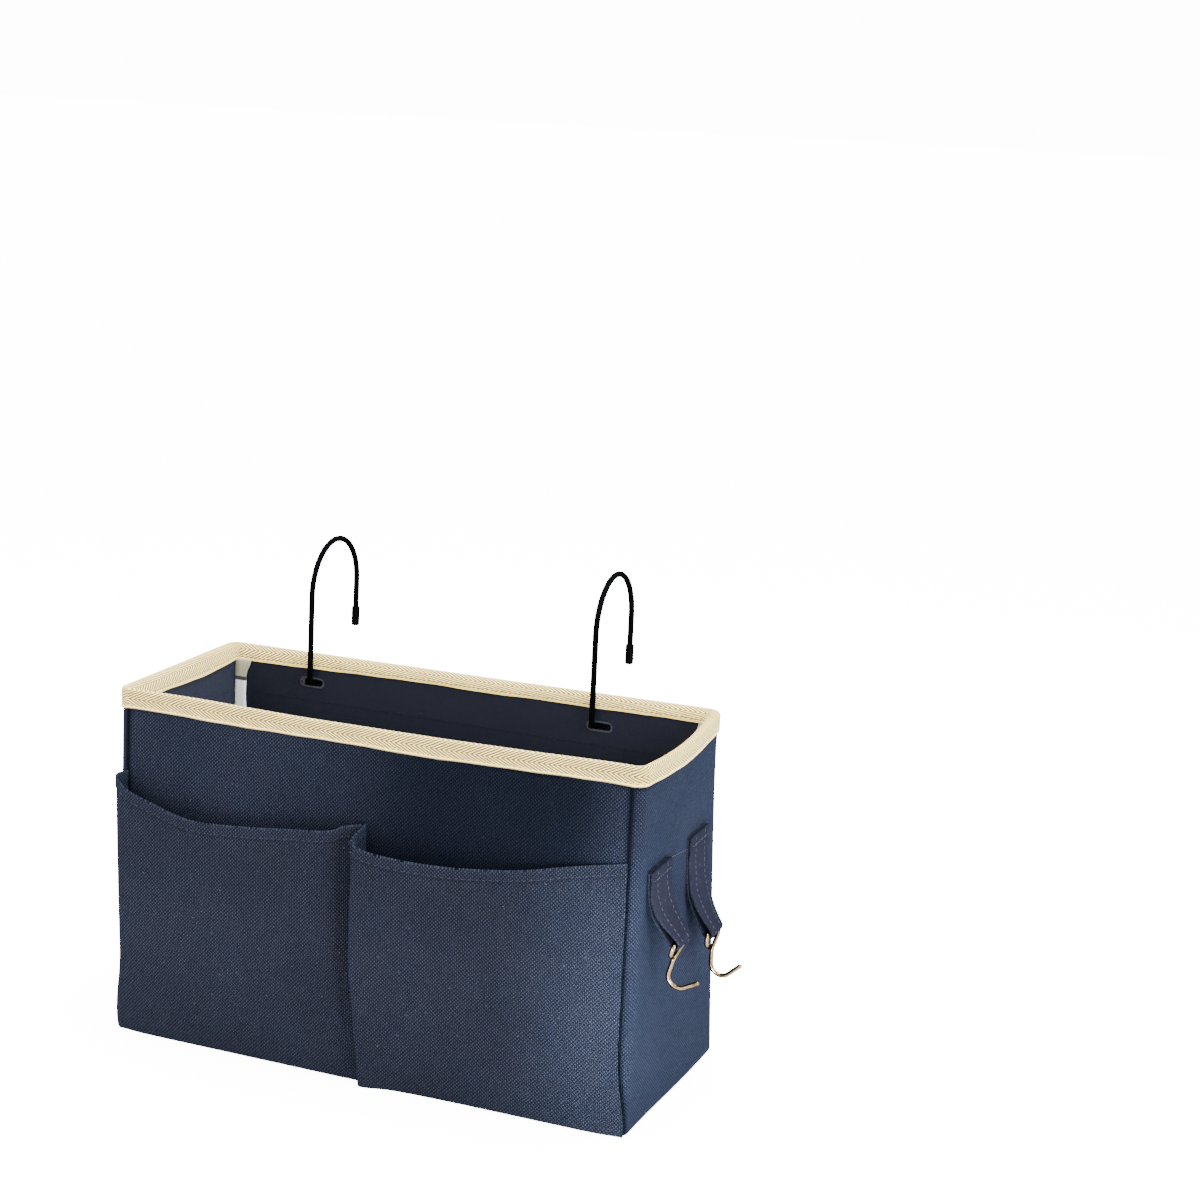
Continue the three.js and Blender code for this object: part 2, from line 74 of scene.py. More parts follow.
def add_node(tree, kind, inputs=(), **settings):
    """A node of one kind with its settings, and a value or another node's output in each input."""
    made = tree.nodes.new(kind)
    for name, value in settings.items():
        setattr(made, name, value)
    for name, value in dict(inputs).items():
        if isinstance(value, bpy.types.NodeSocket):
            tree.links.new(value, made.inputs[name])
        else:
            made.inputs[name].default_value = value
    return made


def calc(tree, operation, *values):
    """A Math node's result."""
    return add_node(tree, "ShaderNodeMath", enumerate(values), operation=operation).outputs[0]


def plain_material(name, **sockets):
    """A material with a Principled shader, whose sockets take the given values."""
    made = bpy.data.materials.new(name)
    made.use_nodes = True
    shader = made.node_tree.nodes["Principled BSDF"]
    for socket, value in sockets.items():
        shader.inputs[socket.replace("_", " ")].default_value = value
    return made, made.node_tree, shader


floor_mesh = bpy.data.meshes.new("floor")
floor_mesh.from_pydata([(-floor_reach, -floor_reach, 0), (floor_reach, -floor_reach, 0),
                        (floor_reach, floor_reach, 0), (-floor_reach, floor_reach, 0)], [],
                       [(0, 1, 2, 3)])
floor = bpy.data.objects.new("floor", floor_mesh)
bpy.context.scene.collection.objects.link(floor)
floor_finish, floor_tree, floor_shader = plain_material("pale floor", Roughness=0.9)
floor_shader.inputs["Base Color"].default_value = (0.86, 0.86, 0.87, 1)
camera_ray = add_node(floor_tree, "ShaderNodeLightPath").outputs["Is Camera Ray"]
seen_glow = add_node(floor_tree, "ShaderNodeEmission", {
    "Color": (1, 1, 1, 1), "Strength": calc(floor_tree, "MULTIPLY", camera_ray, floor_glow)})
both = add_node(floor_tree, "ShaderNodeAddShader", {0: floor_shader.outputs[0],
                                                    1: seen_glow.outputs[0]})
floor_tree.links.new(both.outputs[0], floor_tree.nodes["Material Output"].inputs["Surface"])
floor_mesh.materials.append(floor_finish)

surround = bpy.data.worlds.new("white surround")
surround.use_nodes = True
sky_tree = surround.node_tree
sky_tree.nodes["Background"].inputs["Color"].default_value = (1, 1, 1, 1)
camera_ray = add_node(sky_tree, "ShaderNodeLightPath").outputs["Is Camera Ray"]
sky_strength = calc(sky_tree, "MULTIPLY_ADD", camera_ray, sky_glow - sky_light, sky_light)
sky_tree.links.new(sky_strength, sky_tree.nodes["Background"].inputs["Strength"])
bpy.context.scene.world = surround


def soft_box(name, place, aim, width, height, watts, colour=(1, 1, 1), spread=180):
    """An area light that stands at a place, faces a point and shines within an angle."""
    lamp = bpy.data.lights.new(name, "AREA")
    lamp.shape, lamp.size, lamp.size_y = "RECTANGLE", width, height
    lamp.energy, lamp.color, lamp.spread = watts, colour, np.radians(spread)
    made = bpy.data.objects.new(name, lamp)
    made.visible_camera = False
    bpy.context.scene.collection.objects.link(made)
    away = np.subtract(place, aim) / np.linalg.norm(np.subtract(place, aim))
    side = np.cross((0, 0, 1), away)
    side /= np.linalg.norm(side)
    made.matrix_world = Matrix.Translation(place) @ Matrix(
        np.stack([side, np.cross(away, side), away], axis=1).tolist()).to_4x4()


cool_light = (0.74, 0.92, 1.0)
soft_box("edge strip", (0.172, -0.20, 0.03), (0.128, -0.055, 0.03), 0.03, 0.19, 0.27, cool_light, 42)
soft_box("side", (0.9, -0.25, 0.5), (0.13, 0, 0.08), 0.5, 0.5, 19, cool_light)
soft_box("top", (0.05, 0.12, 1.1), (0, 0, 0.16), 0.6, 0.4, 38)
soft_box("fill", (-0.9, -1.3, 0.9), (0, 0, 0.08), 1.2, 1.2, 13.5)


# Canvas walls
# Stiffened navy cotton canvas: a front, a back and two sides that wrap 5 mm round the corners,
# sewn together in dark upright seams and turned under the base. The board behind keeps them flat.
wall_half_x, wall_half_y = 127.5 * mm, 52.5 * mm
corner_radius = 5 * mm
canvas_thickness = 0.8 * mm
wall_top = 162 * mm
base_roll = 2.2 * mm
under_reach = 1.8 * mm
seam_depth, seam_width = 0.55 * mm, 0.8 * mm
pucker_depth, pucker_pitch, pucker_reach, pucker_drift = 0.12 * mm, 5.5 * mm, 5 * mm, 23 * mm
wave_depth, wave_along, wave_up = 0.22 * mm, 21 * mm, 37 * mm
calm_edge, calm_top = 20 * mm, 25 * mm
seam_drift, drift_height = 4.4 * mm, 46 * mm
canvas_pitch = 0.86 * mm
canvas_warp = (0.0178, 0.0196, 0.0306, 1)
canvas_weft = (0.0060, 0.0066, 0.0114, 1)
canvas_gap = (0.0007, 0.0010, 0.0018, 1)
rim_bow, bow_foot, bow_rise, bow_from, bow_width = 3 * mm, 125 * mm, 40 * mm, 100 * mm, 20 * mm
tape_bottom = 155 * mm
low_rise = [(0, 1.7), (38, 1.6), (88, 1.4), (162, 1.4), (196, 2.2), (225, 3.4), (245, 3.2), (272, 1.6),
            (297, 1.5), (330, 2.2), (355, 2.0), (400, 1.5), (600, 1.0), (650, 1.2)]
drape_reach = 9 * mm
flare_out, flare_back, flare_height, flare_from, flare_width = (
    4.3 * mm, 4.4 * mm, 150 * mm, 40 * mm, 80 * mm)
seam_dark, seam_dark_reach = 0.97, 1.5 * mm
# Painted shadow along the rim tape's lower edge: the canvas darkens from a little below that edge
# upwards, under the tape.
tape_shadow_dark, tape_shadow_over, tape_shadow_fade = 0.95, 1.3 * mm, 0.9 * mm
# Painted shade over the front's upper right: it grows upwards and to the right, and fades just before
# the right seam.
front_painted_shade, front_shade_from, front_shade_width, front_shade_end, front_shade_foot, front_shade_rise = (
    0.68, 90 * mm, 60 * mm, 26 * mm, 60 * mm, 40 * mm)
foot_wear, wear_height, wear_reach = 0.6, 1.2 * mm, 1.6 * mm
strip_long, strip_rise, strip_short, strip_tilt = 19 * mm, 31 * mm, 23 * mm, 41 * mm
strip_calm_side, strip_calm_top = 15 * mm, 12 * mm

side_angles = np.radians([-90.0, 0.0, 90.0, 180.0])
side_halves = np.array([wall_half_x, wall_half_y] * 2) - corner_radius
side_stands = np.array([wall_half_y, wall_half_x] * 2)
quarter = corner_radius * np.pi / 2
front_reach = 2 * side_halves[0]
side_starts = np.concatenate([[0], np.cumsum(2 * side_halves + quarter)])
perimeter = side_starts[4]


def outline(s, out=0.0, least_radius=1.5 * mm):
    """Place and outward normal on the walls' plan, a rounded rectangle, at arc length s from the
    front's left seam, running right. out grows the rectangle and its corner radius alike: a side is
    n (stand + out) + t along, and a corner is its centre plus the radius times the turned n."""
    s = np.mod(s, perimeter)
    out = np.broadcast_to(out, s.shape)
    side = np.clip(np.searchsorted(side_starts, s, side="right") - 1, 0, 3)
    local = s - side_starts[side]
    radius = np.maximum(corner_radius + out, least_radius)
    half = side_stands[(side + 1) % 2] + out - radius
    share = np.clip(local / (2 * side_halves[side]), 0, 1)
    turn = np.clip((local - 2 * side_halves[side]) / quarter, 0, 1) * np.pi / 2
    face = side_angles[side]
    along = half * (2 * share - 1)
    stand = side_stands[side] + out - radius
    normal = np.stack([np.cos(face + turn), np.sin(face + turn)], axis=-1)
    place = (np.stack([np.cos(face), np.sin(face)], axis=-1) * stand[..., None]
             + np.stack([-np.sin(face), np.cos(face)], axis=-1) * along[..., None]
             + normal * radius[..., None])
    return place, normal


def unit(vectors):
    """Vectors divided by their length."""
    return vectors / np.maximum(np.linalg.norm(vectors, axis=-1, keepdims=True), 1e-12)


def smooth(x):
    """A smooth step from 0 to 1: x x (3 - 2 x), with x held between 0 and 1."""
    x = np.clip(x, 0, 1)
    return x * x * (3 - 2 * x)


def grid_normals(points, closed=False):
    """Outward normals of a grid: the cross product of its column and row directions."""
    if closed:
        across = np.roll(points, -1, axis=1) - np.roll(points, 1, axis=1)
    else:
        across = np.gradient(points, axis=1)
    return unit(np.cross(across, np.gradient(points, axis=0)))


def lattice(rows, columns, close_rows=False, close_columns=False):
    """Quads between the neighbours of a grid as point numbers, and the same quads on a grid whose
    closed directions have one more line, for texture places."""
    row = np.arange(rows if close_rows else rows - 1)[:, None]
    column = np.arange(columns if close_columns else columns - 1)[None, :]
    wide = columns + 1 if close_columns else columns
    steps = [(0, 0), (0, 1), (1, 1), (1, 0)]
    points = [((row + r) % rows * columns + (column + c) % columns).ravel() for r, c in steps]
    flat = [((row + r) * wide + column + c).ravel() for r, c in steps]
    return np.stack(points, axis=1), np.stack(flat, axis=1)


def cloth_shell(outer, inner, uv, closed=False, **marks):
    """A closed cloth between two grids of one size, rows upwards. Its upper and lower edges are half
    rounds, middle + cos(a) half thickness + sin(a) half thickness upwards, and its ends are capped
    unless its columns close on themselves."""
    angles = np.pi * np.arange(1, 4)[:, None, None] / 4

    def rounded(near, far, upward):
        half = (near - far) / 2
        thick = np.linalg.norm(half, axis=-1, keepdims=True)
        return (near + far) / 2 + np.cos(angles) * half + np.sin(angles) * thick * upward

    top = rounded(outer[-1], inner[-1], unit(outer[-1] - outer[-2]))
    bottom = rounded(inner[0], outer[0], unit(outer[0] - outer[1]))
    loop = np.concatenate([outer, top, inner[::-1], bottom])
    rows, columns = loop.shape[:2]
    count = len(outer)
    if closed:
        uv = np.concatenate([uv, uv[:, :1] + (perimeter, 0)], axis=1)
    flat = np.concatenate([uv, uv[[-1] * 3], uv[::-1], uv[[0] * 4]])
    quads, places = lattice(rows, columns, True, closed)
    faces, face_uv = [quads], [flat.reshape(-1, 2)[places]]
    if not closed:
        near = np.r_[2 * count + 4, 2 * count + 5, 0:count, count, count + 1]
        far = np.r_[2 * count + 4, 2 * count + 3, 2 * count + 2:count + 2:-1, count + 2, count + 1]
        for column, order in ((0, [0, 1, 2, 3]), (columns - 1, [3, 2, 1, 0])):
            ladder = np.stack([near[:-1], near[1:], far[1:], far[:-1]], axis=1)[:, order] * columns
            cap = ladder[1:-1] + column
            ends = np.array([[near[0], near[1], far[1]], [near[-2], near[-1], far[-2]]])
            ends = (ends if column == 0 else ends[:, ::-1]) * columns + column
            for some in (cap, ends):
                faces.append(some)
                face_uv.append(flat[some // columns, column])
    values = {}
    for name, value in marks.items():
        value = np.broadcast_to(value, outer.shape[:2])
        values[name] = np.concatenate(
            [value, value[[-1] * 3], value[::-1], value[[0] * 3]]).reshape(-1)
    return loop.reshape(-1, 3), faces, face_uv, values


def add_piece(name, shape, material, body, slot, *nodes):
    """A finished piece: its mesh at the origin, riding on a body and standing for its nodes."""
    points, faces, face_uv, marks = shape
    mesh = bpy.data.meshes.new(name)
    mesh.from_pydata(points.tolist(), [], [face for some in faces for face in some.tolist()])
    mesh.uv_layers.new(name="cloth").data.foreach_set(
        "uv", np.concatenate([some.reshape(-1) for some in face_uv]))
    for mark, values in marks.items():
        mesh.attributes.new(mark, "FLOAT", "POINT").data.foreach_set("value", values)
    mesh.shade_smooth()
    mesh.materials.append(material)
    piece = bpy.data.objects.new(name, mesh)
    bpy.context.scene.collection.objects.link(piece)
    if body:
        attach(piece, body)
    if nodes:
        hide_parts(*nodes)
    return piece


def ramp(tree, value, low, high, to_low=0.0, to_high=1.0):
    """A smooth step of a value from low to high."""
    made = add_node(tree, "ShaderNodeMapRange", {0: value, 1: low, 2: high, 3: to_low, 4: to_high},
                    interpolation_type="SMOOTHSTEP")
    return made.outputs[0]


def mix_colours(tree, share, first, second, kind="MIX"):
    """Two colours mixed by a share."""
    return add_node(tree, "ShaderNodeMix", {0: share, 6: first, 7: second},
                    data_type="RGBA", blend_type=kind).outputs[2]


def noise(tree, vector, scale, detail=2.0, roughness=0.5):
    """Noise from 0 to 1 over a vector."""
    return add_node(tree, "ShaderNodeTexNoise", {"Vector": vector, "Scale": scale,
                    "Detail": detail, "Roughness": roughness}).outputs[0]


def scaled(tree, vector, factor):
    """A vector or a colour times a factor."""
    return add_node(tree, "ShaderNodeVectorMath", {0: vector, "Scale": factor},
                    operation="SCALE").outputs[0]


def wandered(tree, place, scale, reach):
    """A place moved a little: place + (noise colour - 0.5) reach."""
    cloud = add_node(tree, "ShaderNodeTexNoise", {"Vector": place, "Scale": scale, "Detail": 2.0})
    drift = add_node(tree, "ShaderNodeVectorMath", {0: cloud.outputs["Color"], 1: (0.5, 0.5, 0.5)},
                     operation="SUBTRACT").outputs[0]
    return add_node(tree, "ShaderNodeVectorMath", {0: place, 1: scaled(tree, drift, reach)},
                    operation="ADD").outputs[0]


def split(tree, vector):
    """A vector's three parts."""
    return add_node(tree, "ShaderNodeSeparateXYZ", {0: vector}).outputs


def cloth_place(tree):
    """A place on the piece's own UV map, in metres."""
    return add_node(tree, "ShaderNodeUVMap", uv_map="cloth").outputs[0]


def mark(tree, name):
    """A value that a piece's points carry."""
    return add_node(tree, "ShaderNodeAttribute", attribute_name=name).outputs["Fac"]


def dress(tree, shader, colour, height, depth, strength=1.0):
    """A shader's colour, and its bump from a height times a depth."""
    tree.links.new(colour, shader.inputs["Base Color"])
    bump = add_node(tree, "ShaderNodeBump", {"Height": height, "Distance": depth,
                                             "Strength": strength})
    tree.links.new(bump.outputs[0], shader.inputs["Normal"])


def new_group(name, inputs, outputs):
    """A node group with float sockets, or vector ones for names that end in place."""
    tree = bpy.data.node_groups.new(name, "ShaderNodeTree")
    for direction, labels in (("INPUT", inputs), ("OUTPUT", outputs)):
        for label in labels:
            kind = "NodeSocketVector" if label.endswith("place") else "NodeSocketFloat"
            tree.interface.new_socket(label, in_out=direction, socket_type=kind)
    return tree, tree.nodes.new("NodeGroupInput").outputs, tree.nodes.new("NodeGroupOutput").inputs


def plain_weave_group():
    """Warp and weft yarns one pitch apart. In each cell the upper yarn bulges as 1 - x squared across
    and half that along, and cells take turns like a chessboard."""
    tree, given, result = new_group(
        "plain weave", ["Cloth place", "Pitch", "Wander"], ["Height", "Weft", "Gap", "Yarn"])
    xyz = split(tree, wandered(tree, given["Cloth place"], 260.0, given["Wander"]))
    lines, rounds, flats, numbers = [], [], [], []
    for axis in (0, 1):
        line = calc(tree, "DIVIDE", xyz[axis], given["Pitch"])
        offset = calc(tree, "MULTIPLY_ADD", calc(tree, "FRACT", line), 2.0, -1.0)
        square = calc(tree, "MULTIPLY", offset, offset)
        lines.append(line)
        numbers.append(calc(tree, "FLOOR", line))
        rounds.append(calc(tree, "SUBTRACT", 1.0, square))
        flats.append(calc(tree, "MULTIPLY_ADD", square, -0.5, 1.0))
    weft = calc(tree, "FLOORED_MODULO", calc(tree, "ADD", numbers[0], numbers[1]), 2.0)
    warp_height = calc(tree, "MULTIPLY", rounds[0], flats[1])
    weft_height = calc(tree, "MULTIPLY", rounds[1], flats[0])

    def either(first, second):
        return add_node(tree, "ShaderNodeMix", {0: weft, 2: first, 3: second}).outputs[0]

    height = either(warp_height, weft_height)
    apart, weft_start, slow = 7.31, 91.0, 0.12
    number = either(calc(tree, "MULTIPLY", numbers[0], apart),
                    calc(tree, "MULTIPLY_ADD", numbers[1], apart, weft_start))
    run = either(calc(tree, "MULTIPLY", lines[1], slow), calc(tree, "MULTIPLY", lines[0], slow))
    yarn = noise(tree, add_node(tree, "ShaderNodeCombineXYZ", {0: number, 1: run}).outputs[0], 1.0)
    for name, value in (("Height", height), ("Weft", weft), ("Yarn", yarn),
                        ("Gap", ramp(tree, height, 0.08, 0.62, 1.0, 0.0))):
        tree.links.new(value, result[name])
    return tree


def lint_group():
    """Pale specks of fibre: the cores of a few cells of a Voronoi pattern, one in twenty."""
    tree, given, result = new_group("lint", ["Cloth place", "Density"], ["Speck"])
    cells = add_node(tree, "ShaderNodeTexVoronoi",
                     {"Vector": given["Cloth place"], "Scale": given["Density"]})
    chosen = ramp(tree, split(tree, cells.outputs["Color"])[0], 0.93, 0.97)
    core = ramp(tree, cells.outputs["Distance"], 0.10, 0.22, 1.0, 0.0)
    tree.links.new(calc(tree, "MULTIPLY", core, chosen), result["Speck"])
    return tree


plain_weave, lint = plain_weave_group(), lint_group()


def woven_material(name, warp, weft, gap, pitch, speck, relief=0.45 * mm, roughness=0.92,
                   sheen=0.10, gloss=0.0, speck_share=0.55, wear_colour=(0.026, 0.033, 0.052, 1)):
    """Plain-woven cloth from the weave group: warp or weft colour times uneven yarns, slow fading and
    slubs, then the gap colour, lint, wear on the high yarns and the painted shade and dark seams of the
    piece's shade mark, with the weave as its bump."""
    made, tree, shader = plain_material(
        name, Roughness=roughness, Sheen_Weight=sheen, Sheen_Roughness=0.55)
    shader.inputs["Specular IOR Level"].default_value = gloss
    shader.inputs["Sheen Tint"].default_value = (0.10, 0.14, 0.26, 1)
    place = cloth_place(tree)
    weave = add_node(tree, "ShaderNodeGroup", node_tree=plain_weave)
    tree.links.new(place, weave.inputs["Cloth place"])
    weave.inputs["Pitch"].default_value = pitch
    weave.inputs["Wander"].default_value = 0.35 * pitch
    colour = mix_colours(tree, weave.outputs["Weft"], warp, weft)
    tone = ramp(tree, weave.outputs["Yarn"], 0.2, 0.8, 0.80, 1.20)
    slow = ramp(tree, noise(tree, place, 26.0, 3.0), 0.25, 0.75, 0.90, 1.10)
    slub = ramp(tree, noise(tree, place, 780.0, 2.0), 0.30, 0.70, 0.88, 1.12)
    tone = calc(tree, "MULTIPLY", calc(tree, "MULTIPLY", tone, slow), slub)
    tint = mix_colours(tree, ramp(tree, noise(tree, place, 46.0, 3.0), 0.32, 0.68),
                       (0.97, 0.99, 1.01, 1), (1.05, 0.99, 0.98, 1))
    colour = mix_colours(tree, 1.0, colour, tint, "MULTIPLY")
    colour = mix_colours(tree, weave.outputs["Gap"], scaled(tree, colour, tone), gap)
    specks = add_node(tree, "ShaderNodeGroup", {"Cloth place": place, "Density": 420.0},
                      node_tree=lint).outputs[0]
    colour = mix_colours(tree, calc(tree, "MULTIPLY", specks, speck_share), colour, speck)
    patchy = ramp(tree, noise(tree, place, 900.0, 2.0), 0.35, 0.70)
    worn = calc(tree, "MULTIPLY", mark(tree, "wear"),
                calc(tree, "MULTIPLY", patchy, weave.outputs["Height"]))
    colour = mix_colours(tree, worn, colour, wear_colour)
    # Painted shade and dark seams: the piece's shade mark darkens the cloth towards its gap colour.
    colour = mix_colours(tree, mark(tree, "shade"), colour, gap)
    fuzz = calc(tree, "MULTIPLY_ADD", noise(tree, place, 5200.0, 1.0), 0.35, weave.outputs["Height"])
    dress(tree, shader, colour, fuzz, relief, 0.8)
    return made


canvas = woven_material("navy canvas", canvas_warp, canvas_weft, canvas_gap, canvas_pitch,
                        (0.0370, 0.0429, 0.0555, 1))


def drift_at(z):
    """How far the upright seams drift round their corners: a smooth rise towards the floor, to the
    power 1.5."""
    return seam_drift * smooth(1 - z / drift_height) ** 1.5


def side_bow(place, z):
    """How far the right wall bows out near its rim: rim_bow cos(pi y / depth), rising from bow_foot
    and fading towards the left."""
    across = np.cos(np.pi / 2 * np.clip(place[..., 1] / wall_half_y, -1, 1))
    side = smooth((place[..., 0] - bow_from) / bow_width)
    return rim_bow * across * side * smooth((z - bow_foot) / bow_rise)


def rear_flare(place, z):
    """How far the slack cloth of the rear right corner stands out towards the floor: a shift in x and
    y times (1 - z / height) to the power 1.2, less towards the front and the left."""
    drop = np.clip(1 - z / flare_height, 0, 1) ** 1.2
    drop = drop * smooth((place[..., 0] - flare_from) / flare_width)
    rear = smooth(0.5 + place[..., 1] / (2 * wall_half_y))
    return np.stack([flare_out * drop * rear, flare_back * drop * rear], axis=-1)


def draped(s, keys):
    """A height that follows keys (place round the plan, rise) in millimetres: the mean of their
    straight joins over drape_reach to either side."""
    places, rises = np.array(keys).T * mm
    return np.mean([np.interp(s + shift, places, rises, period=perimeter)
                    for shift in np.linspace(-drape_reach, drape_reach, 7)], axis=0)


def wall_face(s, z, edge):
    """The outer face of a wall: the plan at arc length s, drawn in along its seams, with puckers that
    fade away from them and a slow wave of the cloth over its board."""
    pucker = np.cos(2 * np.pi * z / pucker_pitch + 3 * np.sin(z / pucker_drift))
    inward = seam_depth * np.exp(-(edge / seam_width) ** 2)
    inward = inward + pucker_depth * (0.5 + 0.5 * pucker) * np.exp(-edge / pucker_reach)
    wave = wave_depth * np.sin(s / wave_along + 1.3 * np.sin(z / wave_up))
    wave = wave * smooth(edge / calm_edge) * smooth((wall_top - z) / calm_top)
    drop = np.clip(base_roll - z, 0, base_roll)
    roll = base_roll - np.sqrt(np.maximum(base_roll ** 2 - drop ** 2, 0))
    place, normal = outline(s)
    point = place + normal * (wave - inward - roll)[..., None]
    point[..., 0] += side_bow(point, z)
    point += rear_flare(point, z)
    return np.concatenate([point, z[..., None]], axis=-1), normal


def wall_shade(s, height, edge):
    """How dark a wall is, as a share of its gap colour: the most of a soft line along each seam, of
    a painted shadow under and just below the rim tape's lower edge, and, on the front, of a painted
    shade that grows upwards and to the right."""
    seam = seam_dark * np.exp(-(edge / seam_dark_reach) ** 2)
    # Painted shadow along and under the rim tape's lower edge.
    tape_shadow = height - tape_bottom - draped(s, low_rise) + tape_shadow_over
    tape_shadow = tape_shadow_dark * smooth(tape_shadow / tape_shadow_fade)
    # Painted shade over the front's upper right.
    front = smooth((s - front_shade_from) / front_shade_width) * smooth((front_reach - s) / front_shade_end)
    front = front_painted_shade * front * smooth((height - front_shade_foot) / front_shade_rise)
    front = np.where((s > 0) & (s < front_reach), front, 0)
    return np.maximum(front, np.maximum(seam, tape_shadow))


def wall_panel(s_from, s_to, columns, turns, rows=70):
    """One wall between two seams. Rows run from the turn under the base round the base's edge, a
    quarter circle, and up to the rim. Columns stand closer together near the seams."""
    share = (1 - np.cos(np.pi * np.linspace(0, 1, columns))) / 2
    rise = np.concatenate([base_roll * (1 - np.cos(np.linspace(0, np.pi / 2, 7)[:-1])),
                           np.linspace(base_roll, wall_top, rows)])
    z, share = np.meshgrid(rise, share, indexing="ij")
    seams = s_from + turns[0] * drift_at(z), s_to + turns[1] * drift_at(z)
    s = seams[0] + (seams[1] - seams[0]) * share
    edge = np.minimum(s - seams[0], seams[1] - s)
    outer, normal = wall_face(s, z, edge)
    outer, normal, z, s, edge = (
        np.concatenate([grid[:1].repeat(3, axis=0), grid]) for grid in (outer, normal, z, s, edge))
    under = np.append(np.linspace(under_reach, 0, 4)[:3], np.zeros(len(rise)))[:, None]
    outer[..., :2] -= normal * under[..., None]
    inner = outer - grid_normals(outer) * canvas_thickness
    height = z - under
    wear = foot_wear * np.exp(-((height - wear_height) / wear_reach) ** 2)
    return cloth_shell(outer, inner, np.stack([s, height], axis=-1),
                       shade=wall_shade(s, height, edge), wear=wear)


front_right, back_right, back_left = side_starts[1] - quarter, side_starts[2], side_starts[3] - quarter
walls = {
    "outer_front_panel": (0, front_right, 130, (-1, 1)),
    "outer_right_panel": (front_right, back_right, 72, (1, -1)),
    "outer_back_panel": (back_right, back_left, 130, (-1, 1)),
    "outer_left_panel": (back_left, perimeter, 72, (1, -1)),
}
for node, (s_from, s_to, columns, turns) in walls.items():
    piece = add_piece(node.replace("outer", "canvas"), wall_panel(s_from, s_to, columns, turns),
                      canvas, "caddy", "canvas_navy", node)


def strip_cloth(corner, along, upward, width, height, thickness, columns, rows, wave=0.0, drop=0.0):
    """A hung or laid strip of cloth: corner + a along + b upward on its seen face, with a slow wave
    towards along x upward that dies at its edges, and a flat back face one thickness behind."""
    a, b = np.meshgrid(np.linspace(0, width, columns), np.linspace(0, height, rows))
    normal = np.cross(along, upward)
    swell = np.sin(a / strip_long + 0.8 * np.sin(b / strip_rise))
    swell = wave * (0.5 + 0.25 * (swell + np.sin(b / strip_short + a / strip_tilt)))
    swell = swell * smooth(a / strip_calm_side) * smooth((width - a) / strip_calm_side)
    swell = swell * smooth((height - b) / strip_calm_top)
    outer = (np.array(corner) + a[..., None] * np.array(along) + b[..., None] * np.array(upward)
             + swell[..., None] * normal)
    inner = outer - (swell[..., None] + thickness) * normal
    return outer, inner, np.stack([a, b + drop], axis=-1)


base_inset, base_lift, base_thickness, base_wear = 4.3 * mm, 0.12 * mm, 0.7 * mm, 0.35
base_width, base_length = 2 * (wall_half_x - base_inset), 2 * (wall_half_y - base_inset)
outer, inner, uv = strip_cloth((-base_width / 2, base_length / 2, base_lift), (1, 0, 0), (0, -1, 0),
                               base_width, base_length, base_thickness, 120, 50)
for face in (outer, inner):
    face[..., :2] += rear_flare(face, 0)
piece = add_piece("canvas_base_panel", cloth_shell(outer, inner, uv, wear=base_wear), canvas,
                  "caddy", "canvas_navy", "outer_base_panel")


# Pockets
# Two cloths of the same canvas, sewn down along the base and their outer seams. Between them the
# left one turns back into a valley and the right one comes out of it in a sharp gusset. Their turned
# hems, held by one line of stitches, sag between their sewn ends.
pocket_floor, pocket_height, pocket_sag = 1.1 * mm, 126 * mm, 14 * mm
pocket_full_height, opening_power = 108 * mm, 0.6
pocket_back, sewn_in = -wall_half_y - 0.3 * mm, 1.1 * mm
seam_x = wall_half_x - corner_radius
left_fold_depth, right_fold_depth = 7.6 * mm, 11.5 * mm
left_fold_inset, left_fold_reach = 0.8 * mm, 0.7 * mm
valley_lean, fold_lean, lean_height = 6.3 * mm, 4.1 * mm, 70 * mm
fold_lap, fold_shoulder, valley_gap, valley_shoulder = 1.4 * mm, 4 * mm, 2.5 * mm, 14 * mm
hem_height, hem_extra, hem_stitch, hem_soften = 5.2 * mm, 0.4 * mm, 4.2 * mm, 0.9 * mm
fine_rows_reach, stitch_row_gap = 1.6 * mm, 0.6 * mm
# The turned hem's lower edge gets a line of painted shade.
hem_wear, hem_wear_reach, hem_fold_shade, hem_fold_shade_reach = 0.45, 0.7 * mm, 0.35, 0.5 * mm
pocket_weave_start = 400 * mm
left_hem = [[0, 0], [0.08, 0.03], [0.2, 0.55], [0.36, 1.05], [0.6, 0.97], [0.8, 0.7],
            [0.92, 0.48], [1, 0.4]]
right_hem = [[0, 0.38], [0.12, 0.66], [0.24, 0.92], [0.42, 1.04], [0.6, 1.1], [0.78, 0.94],
             [0.92, 0.51], [1, 0.17]]
end_turn_reach, end_turn_share = 25 * mm, 0.8
drag_depth, drag_foot, drag_rise = 0.28 * mm, 15 * mm, 60 * mm
drag_folds = [(1, 8.5 * mm, 26 * mm, 0), (0.7, 5.3 * mm, -33 * mm, 2), (0.5, 14 * mm, -15 * mm, 0)]
gather_depth, gather_length, gather_reach = 0.05 * mm, 1.55 * mm, 1.6 * mm
thread_lift, thread_jitter = 0.02 * mm, 0.2 * mm
hem_thread_pitch, hem_thread_size = 3.1 * mm, (1.8 * mm, 0.36 * mm, 0.26 * mm)


